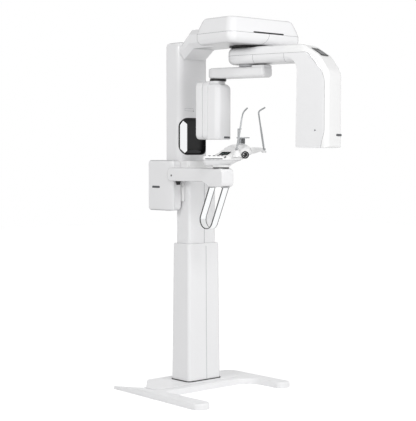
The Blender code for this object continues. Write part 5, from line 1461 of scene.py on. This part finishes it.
class DetectorHead(bpy.types.Operator):
    """Detector head: its face shell, the two slabs behind it and the sensor."""
    bl_idname = "scanner.detector_head"
    bl_label = "Detector head"

    def execute(self, context):
        low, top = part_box("detector_front")[0].z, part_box("detector_front")[1].z
        front, rear, half = -0.155, -0.2326, 0.075
        sharp, soft = 0.0006, 0.034
        corners, bends = rectangle(rear, -half, front, half), [sharp, soft, soft, sharp]
        loops = []
        levels = [(0.006 * (1 - math.sin(turn)), low + 0.006 * (1 - math.cos(turn)))
                  for turn in quarter(5)]
        levels += [(0.0245 * (1 - math.cos(turn)), top - 0.046 + 0.030 * math.sin(turn))
                   for turn in quarter(10)]
        levels.append((0.0247, top))
        for inset, height in levels:
            moved = inner_corners(corners, bends, inset, fixed=(3,))[0]
            radii = [sharp, soft + inset * 0.5, soft + inset * 0.5, sharp]
            loops.append([(r, s, height) for r, s in rounded(moved, radii, 14)])
        body = lofted("detector_front_shell", loops)
        wall = 0.011
        hollow = prism("hollow", rectangle(rear - past, -half + wall, front - 0.010, half - wall),
                       "Z", low + 0.020, top - 0.050, [0, 0.018, 0.018, 0])
        stand_in(carved(body, hollow), "cover", "detector_front", at=rotor_turn)
        plate = crowned("detector_plate", rectangle(-0.019, low + 0.0065, 0.045, low + 0.0180),
                        0.005, "X", front - 0.002, front + 0.0008, 0, 0.0004)
        painted(plate, "badge", "detector_head", "black_plastic", at=rotor_turn)
        slab_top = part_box("detector_back")[1].z + 0.016
        slab = rectangle(-half, low, half, slab_top)
        for name, near, far, soft in (("detector_middle", rear - 0.0003, rear - 0.0381, 0.007),
                                      ("detector_back", rear - 0.0384, rear - 0.0844, 0.010)):
            piece = crowned(name + "_shell", slab, 0.032, "X", far, near, soft, 0.007)
            stand_in(piece, "cover", name, at=rotor_turn)
        dressed("sensor_panel", "enamel", 0.0008)
        return {"FINISHED"}


# Studio, panel and start

def area_light(name, place, target, size, power):
    """A square soft light aimed at a point."""
    lamp = bpy.data.lights.new(name, "AREA")
    lamp.size, lamp.energy = size, power
    made = linked(name, lamp)
    made.location = place
    made.rotation_euler = (Vector(target) - Vector(place)).to_track_quat("-Z", "Y").to_euler()


def seen_directly(tree):
    """1 where the camera sees a surface straight, in gloss or through glass."""
    path = node(tree, "ShaderNodeLightPath").outputs
    first = node(tree, "ShaderNodeMath", {0: path["Is Camera Ray"], 1: path["Is Glossy Ray"]},
                 operation="MAXIMUM")
    return node(tree, "ShaderNodeMath", {0: first.outputs[0], 1: path["Is Transmission Ray"]},
                operation="MAXIMUM").outputs[0]


class Studio(bpy.types.Operator):
    """Pale floor, white surroundings, soft lights and the camera."""
    bl_idname = "scanner.studio"
    bl_label = "Studio and camera"

    def execute(self, context):
        scene = context.scene
        floor = lofted("studio_floor", [[(-14, -14, at), (14, -14, at), (14, 14, at), (-14, 14, at)]
                                        for at in (-0.02, -0.0005)])
        # Paper fibres of 2.5 mm
        paper, tree, shader = finish("white_paper_floor", tone("F2F2F2"), 0.9, "Noise",
                                     {"Scale": 400.0, "Detail": 2.0},
                                     {"raised": (0.05, 0.0005)})[:3]
        lift = node(tree, "ShaderNodeMath", {0: seen_directly(tree)}, operation="MULTIPLY")
        lift.inputs[1].default_value = 0.55
        shader.inputs["Emission Color"].default_value = (1, 1, 1, 1)
        tree.links.new(lift.outputs[0], shader.inputs["Emission Strength"])
        floor.data.materials.append(paper)

        world = bpy.data.worlds.new("white_room")
        world.use_nodes = True
        scene.world = world
        tree = world.node_tree
        sky = tree.nodes["Background"]
        sky.inputs["Color"].default_value = (1, 1, 1, 1)
        room = node(tree, "ShaderNodeMapRange", {"Value": seen_directly(tree)}, To_Min=0.49,
                    To_Max=1.0)
        tree.links.new(room.outputs["Result"], sky.inputs["Strength"])

        area_light("key_light", (0.8, -6.0, 3.2), (0, -0.3, 1.2), 1.6, 105.0)
        area_light("left_light", (-4.4, -0.8, 2.9), (0, 0, 1.2), 0.8, 42.0)
        area_light("high_light", (-1.8, -4.0, 5.0), (0, -0.2, 1.0), 1.6, 56.0)

        # The photograph's viewing angle: a little downwards, from the front left
        tilt_down, heading = 2.61, -41.6
        camera = linked("studio_camera", bpy.data.cameras.new("studio_camera"))
        camera.data.sensor_width = 36
        camera.data.lens = 102.27
        camera.location = (-4.726, -5.432, 1.385)
        camera.rotation_euler = (math.radians(90 - tilt_down), 0, math.radians(heading))
        scene.camera = camera
        scene.view_settings.view_transform = "Standard"
        return {"FINISHED"}


steps = (FloorBase, LowerColumn, LiftDrive, Carriage, SideBox, SideArm, GripLoop, PatientTable,
         TableControls, TempleKnob, RodYoke, TempleRods, ChinSupport, UpperColumn, RearCover,
         TopBracket, HeadHousing, FocusStage, TubeArm, TubeHead, DetectorArm, DetectorHead, Studio)


class ScannerPanel(bpy.types.Panel):
    """Lists the scanner's pieces, sizes and colours."""
    bl_idname = "VIEW3D_PT_scanner"
    bl_label = "Cone beam scanner"
    bl_space_type = "VIEW_3D"
    bl_region_type = "UI"
    bl_category = "Scanner"

    def draw(self, context):
        for group in (context.scene.scanner_sizes, context.scene.scanner_colours):
            for name in group.bl_rna.properties.keys():
                if name not in ("rna_type", "name"):
                    self.layout.prop(group, name)
        for step in steps:
            self.layout.operator(step.bl_idname)


def register():
    """Register the settings, the steps and the panel."""
    for entry in (ScannerSizes, ScannerColours, *steps, ScannerPanel):
        bpy.utils.register_class(entry)
    bpy.types.Scene.scanner_sizes = bpy.props.PointerProperty(type=ScannerSizes)
    bpy.types.Scene.scanner_colours = bpy.props.PointerProperty(type=ScannerColours)


def unregister():
    """Take back what register added."""
    del bpy.types.Scene.scanner_colours
    del bpy.types.Scene.scanner_sizes
    for entry in (ScannerPanel, *reversed(steps), ScannerColours, ScannerSizes):
        bpy.utils.unregister_class(entry)


def main():
    """Register the add-on, mix the finishes and build every piece in order."""
    register()
    mix_finishes(bpy.context.scene.scanner_colours)
    for step in steps:
        getattr(bpy.ops.scanner, step.bl_idname.split(".")[1])()


if __name__ == "__main__":
    main()
